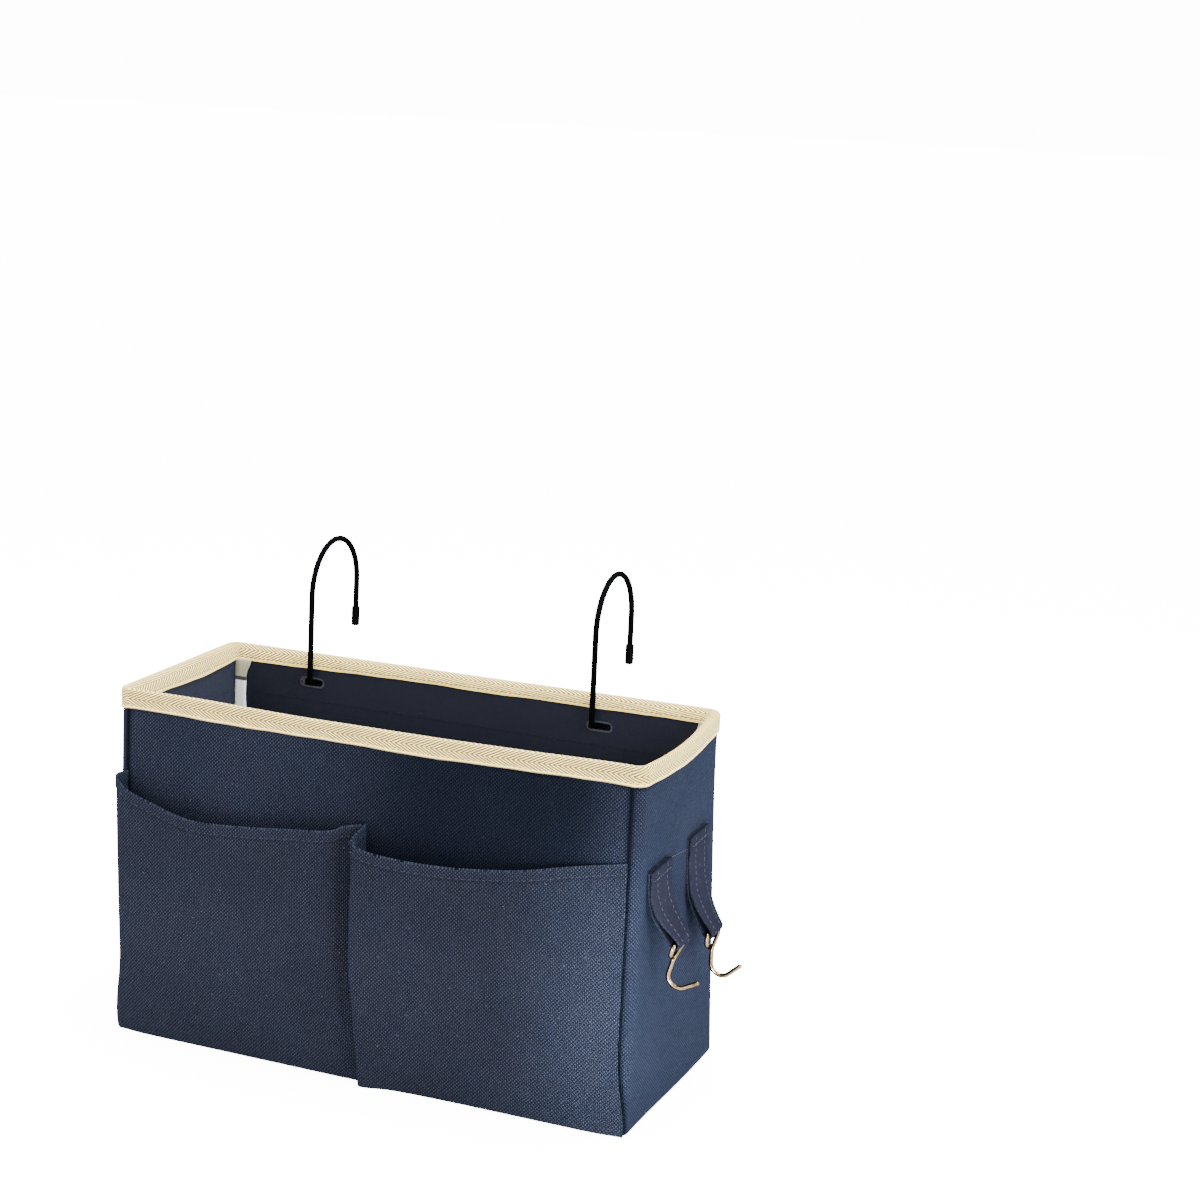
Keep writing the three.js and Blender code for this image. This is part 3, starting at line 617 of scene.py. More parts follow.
def spline(keys, share):
    """Catmull-Rom curve through keys (..., key, value) at a share of its spans: in each span the
    cubic whose end slopes are half the difference of the neighbouring keys."""
    count = keys.shape[-2]
    at = np.clip(share, 0, 1) * (count - 1)
    span = np.minimum(np.floor(at).astype(int), count - 2)
    w = (at - span)[..., None]
    keys = np.broadcast_to(keys, share.shape + keys.shape[-2:])
    p0, p1, p2, p3 = (np.take_along_axis(
        keys, np.clip(span + k, 0, count - 1)[..., None, None], axis=-2)[..., 0, :]
        for k in (-1, 0, 1, 2))
    slope_1, slope_2 = (p2 - p0) / 2, (p3 - p1) / 2
    return ((2 * p1 - 2 * p2 + slope_1 + slope_2) * w ** 3
            + (3 * p2 - 3 * p1 - 2 * slope_1 - slope_2) * w ** 2 + slope_1 * w + p1)


def opening(z):
    """How far a pocket has opened at height z: a power of its height above the floor."""
    return (np.maximum(z - pocket_floor, 0) / pocket_full_height) ** opening_power


def left_section(z):
    """Plan keys of the left cloth at height z: a bellows fold at the left edge, a nearly flat front
    and a turn back into the valley. Its depth grows as the pocket opens."""
    opened = opening(z)
    depth = left_fold_depth * opened
    end = valley_lean * (1 - smooth(z / lean_height)) - valley_gap
    fold = -seam_x + left_fold_inset - (left_fold_inset + left_fold_reach) * opened
    shoulder = end - valley_shoulder
    keys = [(-seam_x + 0 * z, pocket_back + sewn_in + 0 * z)]
    for along, out in ([0, 0.78], [0.05, 0.88], [0.25, 1.02], [0.5, 0.94], [0.75, 0.86], [1, 0.84]):
        keys.append((fold + (shoulder - fold) * along, pocket_back - depth * out))
    keys += [(end - valley_shoulder / 2, pocket_back - depth / 2), (end, pocket_back + 0 * z)]
    return np.moveaxis(np.array(keys), (0, 1), (-2, -1))


def right_section(z):
    """Plan keys of the right cloth at height z: a gusset out of the valley, a sharp fold, and a front
    that tapers to the side seam."""
    opened = opening(z)
    closing = 1 - smooth(z / lean_height)
    start = valley_lean * closing
    fold = start - fold_lap - (valley_lean - fold_lean) * closing
    back_y = pocket_back - canvas_thickness * np.maximum(1 - opened, 0)
    keys = []
    for along, out, closed in ([0, 1, 0.36], [0.1, 0.9, 0.12], [0.3, 0.68, 0.02],
                               [0.55, 0.42, 0], [0.8, 0.17, 0], [1, 0, 0]):
        keys.append((fold + fold_shoulder + (seam_x - fold - fold_shoulder) * along,
                     back_y - right_fold_depth * (closed + (out - closed) * opened)))
    keys = [(start, back_y), (fold, keys[0][1])] + keys
    return np.moveaxis(np.array(keys), (0, 1), (-2, -1))


def turn_ends(plan, z):
    """Near the floor the pockets' outer ends follow the drifting seams round the corners: by an angle
    a = drift / corner radius, x moves by r sin a and y by r (1 - cos a), less further in."""
    angle = end_turn_share * drift_at(z) / corner_radius
    radius = corner_radius - plan[..., 1] - wall_half_y
    near = smooth((np.abs(plan[..., 0]) - seam_x + end_turn_reach) / end_turn_reach)
    shift = [np.sign(plan[..., 0]) * near * radius * np.sin(angle),
             near ** 4 * radius * (1 - np.cos(angle))]
    return plan + np.stack(shift, axis=-1)


def hem_top(hem, share):
    """Height of a pocket's hem at a share of its width: it sags from its sewn ends."""
    return pocket_height - pocket_sag * spline(np.array(hem, float), share)[..., 1]


def pocket_faces(section, hem, share, below):
    """Inner and outer faces of a pocket cloth at shares of its width, at heights measured down from
    its hem: the section's curve, with soft drag folds (sines of x and z added up) and a gather along
    the stitches, plus the cloth's thickness, which grows over the turned hem."""
    top = hem_top(hem, share)
    z = np.maximum(top - below, pocket_floor)
    plan = turn_ends(spline(section(z), share), z)
    inner = np.concatenate([plan, z[..., None]], axis=-1)
    normal = grid_normals(inner)
    free = smooth(share / 0.2) * smooth((1 - share) / 0.25) * smooth((z - drag_foot) / drag_rise)
    x = plan[..., 0]
    drag = sum(part * np.sin(x / along + z / upward + start)
               for part, along, upward, start in drag_folds)
    gather = np.sin(x / gather_length) * np.exp(-((top - z - hem_stitch) / gather_reach) ** 2)
    inner = inner + normal * (free * (drag_depth * drag) + gather_depth * gather)[..., None]
    hem_share = smooth((hem_height - (top - z)) / hem_soften)
    normal = grid_normals(inner)
    return inner, inner + normal * (canvas_thickness + hem_extra * hem_share)[..., None], normal, z


def pole_fans(count, sides):
    """Triangles round the two poles that follow count points in rings of so many sides."""
    spin = np.arange(sides)
    ahead = (spin + 1) % sides
    return (np.stack([np.full(sides, count), ahead, spin], axis=1),
            np.stack([np.full(sides, count + 1), count - sides + spin, count - sides + ahead], axis=1))


def bead_mesh(places, headings, normals, length, width, height, rows=5, sides=6):
    """Sewn stitches: each is a closed spindle from -0.5 to 0.5 along its heading, whose radius is the
    root of cos(pi a), flattened to its width and height, with pointed poles."""
    headings = unit(headings)
    across = unit(np.cross(normals, headings))
    normals = np.cross(headings, across)
    rings = np.linspace(-0.40, 0.40, rows)[:, None]
    spokes = np.arange(sides) * 2 * np.pi / sides
    radius = np.sqrt(np.cos(np.pi * rings))
    local = np.stack([rings * length + 0 * spokes, radius * np.cos(spokes) * width / 2,
                      radius * np.sin(spokes) * height / 2], -1)
    local = np.concatenate([local.reshape(-1, 3), [(-length / 2, 0, 0), (length / 2, 0, 0)]])
    basis = np.stack([headings, across, normals], axis=-2)
    points = places[:, None] + np.einsum("ka,nab->nkb", local, basis)
    quads, _ = lattice(rows, sides, False, True)
    shift = np.arange(len(places))[:, None, None] * len(local)
    faces = [(some[None] + shift).reshape(-1, some.shape[1])
             for some in (quads[:, ::-1], *pole_fans(rows * sides, sides))]
    local_uv = np.stack([rings + 0 * spokes, 0 * rings + spokes / sides], -1).reshape(-1, 2)
    local_uv = np.concatenate([local_uv, [(-0.5, 0), (0.5, 0)]]) * length
    return points.reshape(-1, 3), faces, [local_uv[some % len(local)] for some in faces], {}


def travelled(points):
    """The length travelled along a line at each of its points."""
    return np.concatenate([[0], np.cumsum(np.linalg.norm(np.diff(points, axis=0), axis=1))])


def along_line(points, normals, pitch, jitter=0.0):
    """Places, headings and normals at steps of one pitch along a line of points, each shifted by
    jitter sin(37.7 n)."""
    run = travelled(points)
    at = np.arange(pitch / 2, run[-1], pitch)
    at = at + jitter * np.sin(37.7 * np.arange(len(at)))
    place, normal = (np.stack([np.interp(at, run, values[:, k]) for k in range(3)], axis=1)
                     for values in (points, normals))
    ahead = np.stack([np.interp(at + pitch / 4, run, points[:, k]) for k in range(3)], axis=1)
    return place, ahead - place, unit(normal)


def add_stitches(name, lines, size, thread, body, slot):
    """Lines of stitches of one length, width and height, as one piece."""
    rows = [np.concatenate(part) for part in zip(*lines)]
    return add_piece(name, bead_mesh(*rows, *size), thread, body, slot)


def thread_material(name, colour, dark, roughness=0.75, ply_pitch=0.6 * mm, ply_depth=0.08 * mm):
    """Twisted sewing thread: two plies that wind round each other, darker in their groove."""
    made, tree, shader = plain_material(name, Roughness=roughness)
    shader.inputs["Specular IOR Level"].default_value = 0.1
    place = cloth_place(tree)
    x, y, _ = split(tree, place)
    turns = calc(tree, "MULTIPLY", calc(tree, "ADD", x, y), 1 / ply_pitch)
    ply = calc(tree, "MULTIPLY", calc(tree, "PINGPONG", turns, 0.5), 2.0)
    uneven = ramp(tree, noise(tree, place, 900.0), 0.3, 0.7, 0.75, 1.1)
    tinted = scaled(tree, colour[:3], uneven)
    colour = mix_colours(tree, ramp(tree, ply, 0.0, 0.45, 1.0, 0.0), tinted, dark)
    dress(tree, shader, colour, ply, ply_depth)
    return made


pocket_canvas = woven_material(
    "navy pocket canvas", (0.0191, 0.0202, 0.0295, 1), (0.0062, 0.0067, 0.0108, 1),
    (0.0009, 0.0011, 0.0020, 1), canvas_pitch, (0.0444, 0.0488, 0.0592, 1))
navy_thread = thread_material("navy thread", (0.0300, 0.0313, 0.0408, 1),
                              (0.0096, 0.0102, 0.0143, 1), 0.8)

hem_threads = []
for side, section, hem, columns in (("left", left_section, left_hem, 168),
                                    ("right", right_section, right_hem, 154)):
    share = np.linspace(0, 1, columns)[None]
    top, reach = hem_top(hem, share), hem_height + fine_rows_reach
    steps = 1 - np.linspace(0, 1, 72)[:-1, None] ** 1.15
    below = np.concatenate([reach + (top - pocket_floor - reach) * steps,
                            np.linspace(reach, 0, 12)[:, None] + 0 * top])
    share = np.broadcast_to(share, below.shape)
    inner, outer, normal, z = pocket_faces(section, hem, share, below)
    run = np.cumsum(np.linalg.norm(np.diff(outer, axis=1, prepend=outer[:, :1]), axis=2), axis=1)
    run = run - run[:, [columns // 2]]
    uv = np.stack([run + pocket_weave_start, z], axis=-1)
    wear = hem_wear * np.exp(-(below / hem_wear_reach) ** 2)
    # Painted shade in a line along the turned hem's lower edge.
    shade = hem_fold_shade * np.exp(-((below - hem_height) / hem_fold_shade_reach) ** 2)
    piece = add_piece(f"{side}_pocket_cloth", cloth_shell(outer, inner, uv, wear=wear, shade=shade),
                      pocket_canvas, "caddy", "canvas_navy", f"{side}_pocket_panel")
    share = np.broadcast_to(np.linspace(0.012, 0.985, 400), (3, 400))
    below = hem_stitch + np.array([[1], [0], [-1]]) * stitch_row_gap + 0 * share
    _, outer, normal, _ = pocket_faces(section, hem, share, below)
    hem_threads.append(along_line(outer[1] + thread_lift * normal[1], normal[1], hem_thread_pitch,
                                  thread_jitter))
add_stitches("pocket_hem_stitches", hem_threads, hem_thread_size, navy_thread, "caddy", "canvas_navy")


# Lining
# A finer dark cloth, stretched over the inner faces of the boards and the base. In its back wall
# are two buttonholes, worked round with pale thread, for the wire hooks.
inner_x, inner_y = 122.7 * mm, 47.7 * mm
lining_thickness = 0.6 * mm
lining_floor, lining_top = 4.8 * mm, 160.5 * mm
lining_side_end = 47.4 * mm
slot_centres, slot_z = (-80 * mm, 70.5 * mm), 151 * mm
slot_length, slot_height = 11.6 * mm, 3.5 * mm
slot_pull, slot_calm, slot_calm_reach = 5 * mm, 6 * mm, 10 * mm
hole_clear = 0.7 * mm
lining_swell, swell_along, swell_up, swell_edge = 0.12 * mm, 21 * mm, 27 * mm, 12 * mm
lining_wave, lining_step = 0.3 * mm, 2 * mm
lining_pitch = 0.42 * mm
# Painted shade on the back lining: darker below a height under the rim, with painted light towards its
# upper right.
lining_shade_top, lining_shade_reach, painted_light_from, painted_light_width = 147 * mm, 14 * mm, 30 * mm, 60 * mm
worked_pitch, worked_lift, worked_out = 0.52 * mm, 0.12 * mm, 0.40 * mm
worked_size = (1.15 * mm, 0.6 * mm, 0.5 * mm)
topstitch_z, topstitch_lift, topstitch_pitch = 142 * mm, 0.22 * mm, 3.3 * mm
topstitch_x, topstitch_y, topstitch_size = 113 * mm, 44 * mm, (2.2 * mm, 0.35 * mm, 0.3 * mm)

lining_cloth = woven_material(
    "navy lining", (0.0141, 0.0141, 0.0241, 1), (0.0077, 0.0078, 0.0145, 1),
    (0.0031, 0.0037, 0.0075, 1), lining_pitch, (0.0311, 0.0342, 0.0466, 1), relief=0.05 * mm,
    roughness=0.72, gloss=0.12)
grey_thread = thread_material("grey thread", (0.0629, 0.0651, 0.0725, 1),
                              (0.0148, 0.0148, 0.0178, 1))
dark_thread = thread_material("dark thread", (0.0096, 0.0111, 0.0192, 1),
                              (0.0030, 0.0037, 0.0067, 1))


def slit_sheet(outer, thickness, upper_row, lower_row):
    """A closed sheet from a grid whose two middle rows part at the buttonholes: where they touch they
    share points, and where they part the hole gets a wall between the two faces."""
    rows, columns = outer.shape[:2]
    numbers = np.arange(rows * columns).reshape(rows, columns)
    joined = np.linalg.norm(outer[upper_row] - outer[lower_row], axis=-1) < 1e-7
    numbers[upper_row, joined] = numbers[lower_row, joined]
    quads = np.stack([numbers[:-1, :-1], numbers[:-1, 1:], numbers[1:, 1:], numbers[1:, :-1]], -1)
    quads = np.delete(quads, lower_row, axis=0).reshape(-1, 4)
    front = outer.reshape(-1, 3)
    rear = front.copy()
    rear[:, 1] = inner_y + thickness
    shift = len(front)
    edge = np.concatenate([numbers[0], numbers[1:, -1], numbers[-1, -2::-1], numbers[-2:0:-1, 0],
                           numbers[0, :1]])
    edge = edge[np.concatenate([[True], edge[1:] != edge[:-1]])]
    runs = [np.stack([edge[1:], edge[:-1]], axis=1)]
    parted = ~(joined[:-1] & joined[1:])
    runs.append(np.stack([numbers[lower_row, :-1], numbers[lower_row, 1:]], axis=1)[parted])
    runs.append(np.stack([numbers[upper_row, 1:], numbers[upper_row, :-1]], axis=1)[parted])
    runs = np.concatenate(runs)
    walls_round = np.stack([runs[:, 0], runs[:, 1], runs[:, 1] + shift, runs[:, 0] + shift], axis=1)
    faces = [quads, quads[:, ::-1] + shift, walls_round]
    points = np.concatenate([front, rear])
    used = np.unique(np.concatenate([some.ravel() for some in faces]))
    renumber = np.full(len(points), -1)
    renumber[used] = np.arange(len(used))
    uv = np.stack([points[:, 0], points[:, 2]], axis=-1)
    return points[used], [renumber[some] for some in faces], [uv[some] for some in faces]


def stadium_half(x):
    """Half height of a buttonhole at x from its centre: a bar between two half circles."""
    radius = slot_height / 2
    beyond = np.maximum(np.abs(x) - (slot_length / 2 - radius), 0)
    return np.where(np.abs(x) < slot_length / 2,
                    np.sqrt(np.maximum(radius ** 2 - beyond ** 2, 0)), 0)


bend = (slot_length - slot_height) / 2 + slot_height / 2 * np.sin(np.linspace(0, np.pi / 2, 9))
hole_columns = np.concatenate([-bend[::-1], np.linspace(-bend[0], bend[0], 9)[1:-1], bend])
columns = np.sort(np.concatenate([np.linspace(-inner_x, inner_x, 124)]
                                 + [centre + hole_columns for centre in slot_centres]))
for centre in slot_centres:
    spare = np.abs(columns[:, None] - centre - hole_columns).min(axis=1) > 1e-9
    columns = columns[~(spare & (np.abs(columns - centre) < slot_length / 2 + hole_clear))]
low_rows = slot_z - (slot_z - lining_floor) * (np.linspace(1, 0, 56) ** 1.4)
high_rows = slot_z + (lining_top - slot_z) * (np.linspace(0, 1, 12) ** 1.2)
x, z = np.meshgrid(columns, np.concatenate([low_rows, high_rows]))
half = sum(stadium_half(x - centre) for centre in slot_centres)
above = np.arange(len(z))[:, None] >= len(low_rows)
away = np.abs(z - slot_z)
lift = np.where(above, 1, -1) * half * np.exp(-(away / slot_pull) ** 1.5)
swell = lining_swell * (1 + np.sin(x / swell_along + np.sin(z / swell_up)))
swell = swell * smooth((inner_x - np.abs(x)) / swell_edge)
swell = swell * smooth((away - slot_calm) / slot_calm_reach)
outer = np.stack([x, inner_y - swell, z + lift], axis=-1)
points, faces, face_uv = slit_sheet(outer, lining_thickness, len(low_rows), len(low_rows) - 1)
# Painted shade on the back lining: darker all over than the other lining walls, darker still towards
# the bottom, and lighter with painted light near the top at the right.
low = smooth((lining_shade_top - points[:, 2]) / lining_shade_reach)
lining_painted_light = (1 - low) * smooth((points[:, 0] - painted_light_from) / painted_light_width)
shade = 0.54 + 0.28 * low - 0.26 * lining_painted_light
piece = add_piece("lining_back_cloth", (points, faces, face_uv, {"shade": shade}), lining_cloth,
                  "caddy", "lining_navy", "lining_back")

for side, corner, along, width in (
        ("front", (inner_x, -inner_y, lining_floor), (-1, 0, 0), 2 * inner_x),
        ("left", (-inner_x, -lining_side_end, lining_floor), (0, 1, 0), 2 * lining_side_end),
        ("right", (inner_x, lining_side_end, lining_floor), (0, -1, 0), 2 * lining_side_end)):
    outer, inner, uv = strip_cloth(corner, along, (0, 0, 1), width, lining_top - lining_floor,
                                   lining_thickness, int(width / lining_step), 80, lining_wave)
    for face in (outer, inner):
        face[..., 0] += side_bow(face, face[..., 2])
    piece = add_piece(f"lining_{side}_cloth", cloth_shell(outer, inner, uv), lining_cloth,
                      "caddy", "lining_navy", f"lining_{side}")
outer, inner, uv = strip_cloth((-inner_x, -inner_y, lining_floor), (1, 0, 0), (0, 1, 0),
                               2 * inner_x, 2 * inner_y, lining_thickness, 120, 48)
piece = add_piece("lining_base_cloth", cloth_shell(outer, inner, uv), lining_cloth,
                  "caddy", "lining_navy", "lining_base")

worked = []
for centre in slot_centres:
    turn = np.linspace(0, 2 * np.pi, 721)
    reach = slot_length / 2 - slot_height / 2
    ring = np.stack([centre + reach * np.tanh(6 * np.cos(turn)) + slot_height / 2 * np.cos(turn),
                     0 * turn + inner_y - worked_lift,
                     slot_z + slot_height / 2 * np.sin(turn)], axis=-1)
    place, heading, normal = along_line(ring, np.broadcast_to((0, -1.0, 0), ring.shape), worked_pitch)
    wobble = 0.12 * np.sin(61 * np.arange(len(place)))[:, None]
    radial = unit(np.cross(heading, (0, -1.0, 0))) + wobble * unit(heading)
    worked.append((place + worked_out * unit(radial), radial, normal))
add_stitches("buttonhole_stitches", worked, worked_size, grey_thread, "caddy", "lining_navy")

lining_lines = []
for start, stop, normal in (((-topstitch_x, inner_y), (topstitch_x, inner_y), (0, -1.0, 0)),
                            ((-inner_x, -topstitch_y), (-inner_x, topstitch_y), (1.0, 0, 0)),
                            ((inner_x, topstitch_y), (inner_x, -topstitch_y), (-1.0, 0, 0)),
                            ((topstitch_x, -inner_y), (-topstitch_x, -inner_y), (0, 1.0, 0))):
    line = np.linspace((*start, topstitch_z), (*stop, topstitch_z), 60)
    line = line + topstitch_lift * np.array(normal)
    lining_lines.append(along_line(line, np.broadcast_to(normal, line.shape), topstitch_pitch,
                                   thread_jitter))
add_stitches("lining_topstitches", lining_lines, topstitch_size, dark_thread, "caddy", "lining_navy")


# Corner tapes
# A pale felted tape covers each inner upright seam, from the base to the rim tape, a little wider
# near the top, where its end is tucked under the rim tape.
corner_tape_width, corner_tape_taper = 5.9 * mm, 9 * mm
corner_tape_thickness, corner_tape_gap = 1.2 * mm, 0.3 * mm
corner_tape_floor = 5.1 * mm
ragged_depth, ragged_short, ragged_long = 0.25 * mm, 3.1 * mm, 7.7 * mm
hollow_depth, hollow_length, nap_depth = 0.15 * mm, 9 * mm, 0.25 * mm


def felt_material(name, colour, dark, below=None, join=148 * mm, gap=1.1 * mm):
    """Short felted fibres: mottled at two scales, with a soft nap. Where a colour for below is given,
    the strip changes to it at the join, under a dark band painted across the join: a painted shadow
    under the upper part's edge."""
    made, tree, shader = plain_material(name, Roughness=0.95, Sheen_Weight=0.3)
    place = cloth_place(tree)
    mottle = noise(tree, place, 1400.0, 4.0, 0.7)
    streak = noise(tree, add_node(tree, "ShaderNodeMapping", {0: place, 3: (900, 160, 1)}).outputs[0],
                   1.0, 3.0)
    share = ramp(tree, calc(tree, "MULTIPLY_ADD", mottle, 0.6, calc(tree, "MULTIPLY", streak, 0.4)),
                 0.35, 0.62)
    blended = mix_colours(tree, share, dark, colour)
    if below:
        height = split(tree, place)[1]
        lower = mix_colours(tree, ramp(tree, mottle, 0.3, 0.6), below[0], below[1])
        blended = mix_colours(tree, ramp(tree, height, join - gap / 2, join + gap / 2), lower, blended)
        # A painted shadow under the upper part's edge: a dark band across the join.
        apart = calc(tree, "ABSOLUTE", calc(tree, "SUBTRACT", height, join))
        blended = mix_colours(tree, ramp(tree, apart, 0.7 * gap, 1.1 * gap, 1.0, 0.0), blended,
                              (0.012, 0.012, 0.014, 1))
    dress(tree, shader, blended, mottle, nap_depth)
    return made


felt = felt_material("pale felt tape", (0.3960, 0.3520, 0.2320, 1), (0.2244, 0.2048, 0.1334, 1),
                     ((0.62, 0.61, 0.55, 1), (0.84, 0.83, 0.77, 1)))
for side, inward, corner_y, corner_tape_top, corner_tape_top_width in (
        ("back_left", 1, 1, 157.6 * mm, 8.4 * mm), ("back_right", -1, 1, 160.4 * mm, 3 * mm),
        ("front_left", 1, -1, 159 * mm, 8.4 * mm), ("front_right", -1, -1, 159.6 * mm, 8.4 * mm)):
    rise = np.linspace(corner_tape_floor, corner_tape_top, 110)[:, None]
    width = corner_tape_width + (corner_tape_top_width - corner_tape_width) * smooth(
        (rise - corner_tape_top + corner_tape_taper) / corner_tape_taper)
    across = np.linspace(0, 1, 14)[None]
    ragged = ragged_depth * np.sin(rise / ragged_short) * np.sin(rise / ragged_long)
    off = corner_tape_gap + across * (width + ragged * across)
    crown = corner_tape_thickness * (0.72 + 0.28 * np.sin(np.pi * across) ** 0.5)
    crown = crown - hollow_depth * (1 + np.sin(rise / hollow_length)) / 2
    x = inward * (-inner_x + off)
    y_face = corner_y * (inner_y - corner_tape_gap)
    face = np.stack([x, y_face - corner_y * crown, rise + 0 * x], axis=-1)
    rear = np.stack([x, y_face + 0 * x, rise + 0 * x], axis=-1)
    uv = np.stack([off, rise + 0 * off], axis=-1)
    if inward * corner_y < 0:
        face, rear, uv = face[:, ::-1], rear[:, ::-1], uv[:, ::-1]
    add_piece(f"corner_tape_{side}", cloth_shell(face, rear, uv), felt,
              "caddy", "corner_tape", f"corner_binding_{side}")


# Rim tape
# One cream herringbone cotton tape, folded over the rim and sewn through near its lower edges. Its
# ribs run as one zigzag across each face, between smooth selvedges.
tape_out, tape_in = 0.9 * mm, -5.7 * mm
tape_inner_bottom, tape_top = 157 * mm, 165 * mm
# The fold's curve over the rim and the rises of the tape's edges are given in millimetres.
tape_crown = [(0.9, 162.8), (0.9, 167.2), (-4.6, 164.5), (-5.7, 158.5)]
top_rise = [(0, 0.6), (38, 0.7), (68, 0.1), (88, -0.2), (162, 0.2), (196, 0.8), (225, 1.6), (245, 2.0),
            (272, 0.5), (297, 0.2), (340, 1.0), (360, 1.2), (450, 0.4), (600, -0.3), (650, 0.0)]
inner_rise = [(0, 2.0), (245, 2.5), (300, 1.5), (360, 3.2), (391, 3.4), (422, 2.6), (488, 2.5),
              (564, 1.5), (584, 0.4), (605, 0.2), (648, -1.0), (690, 0.5)]
tape_thickness = 0.6 * mm
tape_face, rib_pitch, rib_slope = 10 * mm, 2.4 * mm, -1.73
rib_wander, cross_pitch, selvedge = 0.6 * mm, 0.9 * mm, 1.2 * mm
tape_wave, wave_long, wave_slow, wave_short = 0.16 * mm, 17 * mm, 43 * mm, 9.3 * mm
tape_give, give_reach = 0.10 * mm, 0.8 * mm
edge_wave, edge_reach, edge_long, edge_short = 0.28 * mm, 3 * mm, 13 * mm, 5.1 * mm
tape_stitch_height, tape_stitch_pitch = 2 * mm, 3 * mm
tape_stitch_size = (2.3 * mm, 0.45 * mm, 0.36 * mm)
# The last two values bound a painted shade along the tape's lower outer edge.
rib_depth, dimple_reach, edge_shade_from, edge_shade_to = 0.40 * mm, 0.35 * mm, 0.10 * mm, 0.45 * mm
# Fade of the painted warmer tint at the ends of the tape's right side.
side_tint_fade = 6 * mm


def bezier(p0, p1, p2, p3, count):
    """A cubic Bezier curve from p0 to p3: their sum weighted by (1 - t)^3, 3 (1 - t)^2 t,
    3 (1 - t) t^2 and t^3."""
    t = np.linspace(0, 1, count)[:, None]
    return (1 - t) ** 3 * p0 + 3 * (1 - t) ** 2 * t * p1 + 3 * (1 - t) * t ** 2 * p2 + t ** 3 * p3


crown = bezier(*np.array(tape_crown) * mm, 22)
outer_leg = np.linspace(tape_bottom, crown[0, 1], 14)[:-1]
inner_leg = np.linspace(crown[-1, 1], tape_inner_bottom, 9)[1:]
profile = np.concatenate([np.stack([0 * outer_leg + tape_out, outer_leg], 1), crown,
                          np.stack([0 * inner_leg + tape_in, inner_leg], 1)])
tape_run = travelled(profile)
tape_width = tape_run[-1]


def tape_grid(s):
    """The tape's outer face: the folded profile carried round the plan, with slow waves of its faces
    and lower edges, the small give of the cloth between its stitches, and a bow of the right side.
    Its edges and its crown each rise and sag on their own."""
    s, run = np.meshgrid(s, tape_run)
    out, height = profile[:, :1] + 0 * s, profile[:, 1:] + 0 * s
    edge = np.exp(-np.minimum(run, tape_width - run) / edge_reach)
    wave = np.sin(s / wave_long) * np.sin(s / wave_slow + 1)
    wave = (wave + 0.5 * np.sin(s / wave_short + 2)) / 1.5
    inside = (run > tape_width / 2) * -2.0 + 1
    tuck = 0.5 + 0.5 * np.cos(2 * np.pi * s / tape_stitch_pitch)
    sewn = np.exp(-((np.minimum(run, tape_width - run) - tape_stitch_height) / give_reach) ** 2)
    out = out + inside * (tape_wave * wave * (0.4 + edge) - tape_give * sewn * (1 - tuck))
    height = height + edge_wave * edge * np.sin(s / edge_long + 0.6 * np.sin(s / edge_short))
    place, _ = outline(s, out)
    outside = run < tape_width / 2
    foot = np.where(outside, tape_bottom, tape_inner_bottom)
    share = np.clip((height - foot) / (tape_top - foot), 0, 1)
    height = height + share * draped(s, top_rise) + (1 - share) * np.where(
        outside, draped(s, low_rise), draped(s, inner_rise))
    place[..., 0] += side_bow(place, height)
    return np.concatenate([place, height[..., None]], axis=-1), np.stack([s, run], axis=-1)


def herringbone_group():
    """Ribs of a herringbone tape: a rib every pitch along the tape, slanted one way to the middle of
    a face and back after it, the whole framed by smooth selvedges."""
    tree, given, result = new_group(
        "herringbone tape", ["Tape place", "Pitch", "Slope", "Face", "Width", "Selvedge"],
        ["Height", "Groove", "Edge", "Yarn"])
    u, v, _ = split(tree, wandered(tree, given["Tape place"], 300.0, rib_wander))
    half_face = calc(tree, "MULTIPLY", given["Face"], 0.5)
    fold = calc(tree, "PINGPONG", v, half_face)
    slant = calc(tree, "MULTIPLY", fold, given["Slope"])
    rib = calc(tree, "DIVIDE", calc(tree, "SUBTRACT", u, slant), given["Pitch"])
    offset = calc(tree, "ABSOLUTE", calc(tree, "MULTIPLY_ADD", calc(tree, "FRACT", rib), 2.0, -1.0))
    groove = ramp(tree, offset, 0.22, 0.72)
    turn = ramp(tree, calc(tree, "DIVIDE", fold, given["Pitch"]), 0.0, 0.12, 1.0, 0.0)
    tip = ramp(tree, calc(tree, "DIVIDE", calc(tree, "SUBTRACT", half_face, fold), given["Pitch"]),
               0.0, 0.14, 1.0, 0.0)
    number = calc(tree, "MULTIPLY", calc(tree, "FLOOR", rib), 3.7)
    yarn = noise(tree, add_node(tree, "ShaderNodeCombineXYZ", {
        0: number, 1: calc(tree, "MULTIPLY", v, 420.0)}).outputs[0], 1.0)
    cross = calc(tree, "DIVIDE", v, cross_pitch)
    weft = calc(tree, "MULTIPLY", calc(tree, "PINGPONG", cross, 0.5), 2.0)
    rim = calc(tree, "MINIMUM", v, calc(tree, "SUBTRACT", given["Width"], v))
    edge = ramp(tree, calc(tree, "DIVIDE", rim, given["Selvedge"]), 0.85, 1.1, 1.0, 0.0)
    groove = calc(tree, "MULTIPLY", calc(tree, "MAXIMUM", groove, calc(tree, "MULTIPLY", tip, 0.5)),
                  calc(tree, "SUBTRACT", 1.0, edge))
    groove = calc(tree, "MULTIPLY", groove, calc(tree, "MULTIPLY_ADD", turn, -0.3, 1.0))
    height = calc(tree, "MULTIPLY_ADD", weft, 0.22, calc(tree, "SUBTRACT", 1.0, groove))
    for name, value in (("Height", height), ("Groove", groove), ("Edge", edge), ("Yarn", yarn)):
        tree.links.new(value, result[name])
    return tree


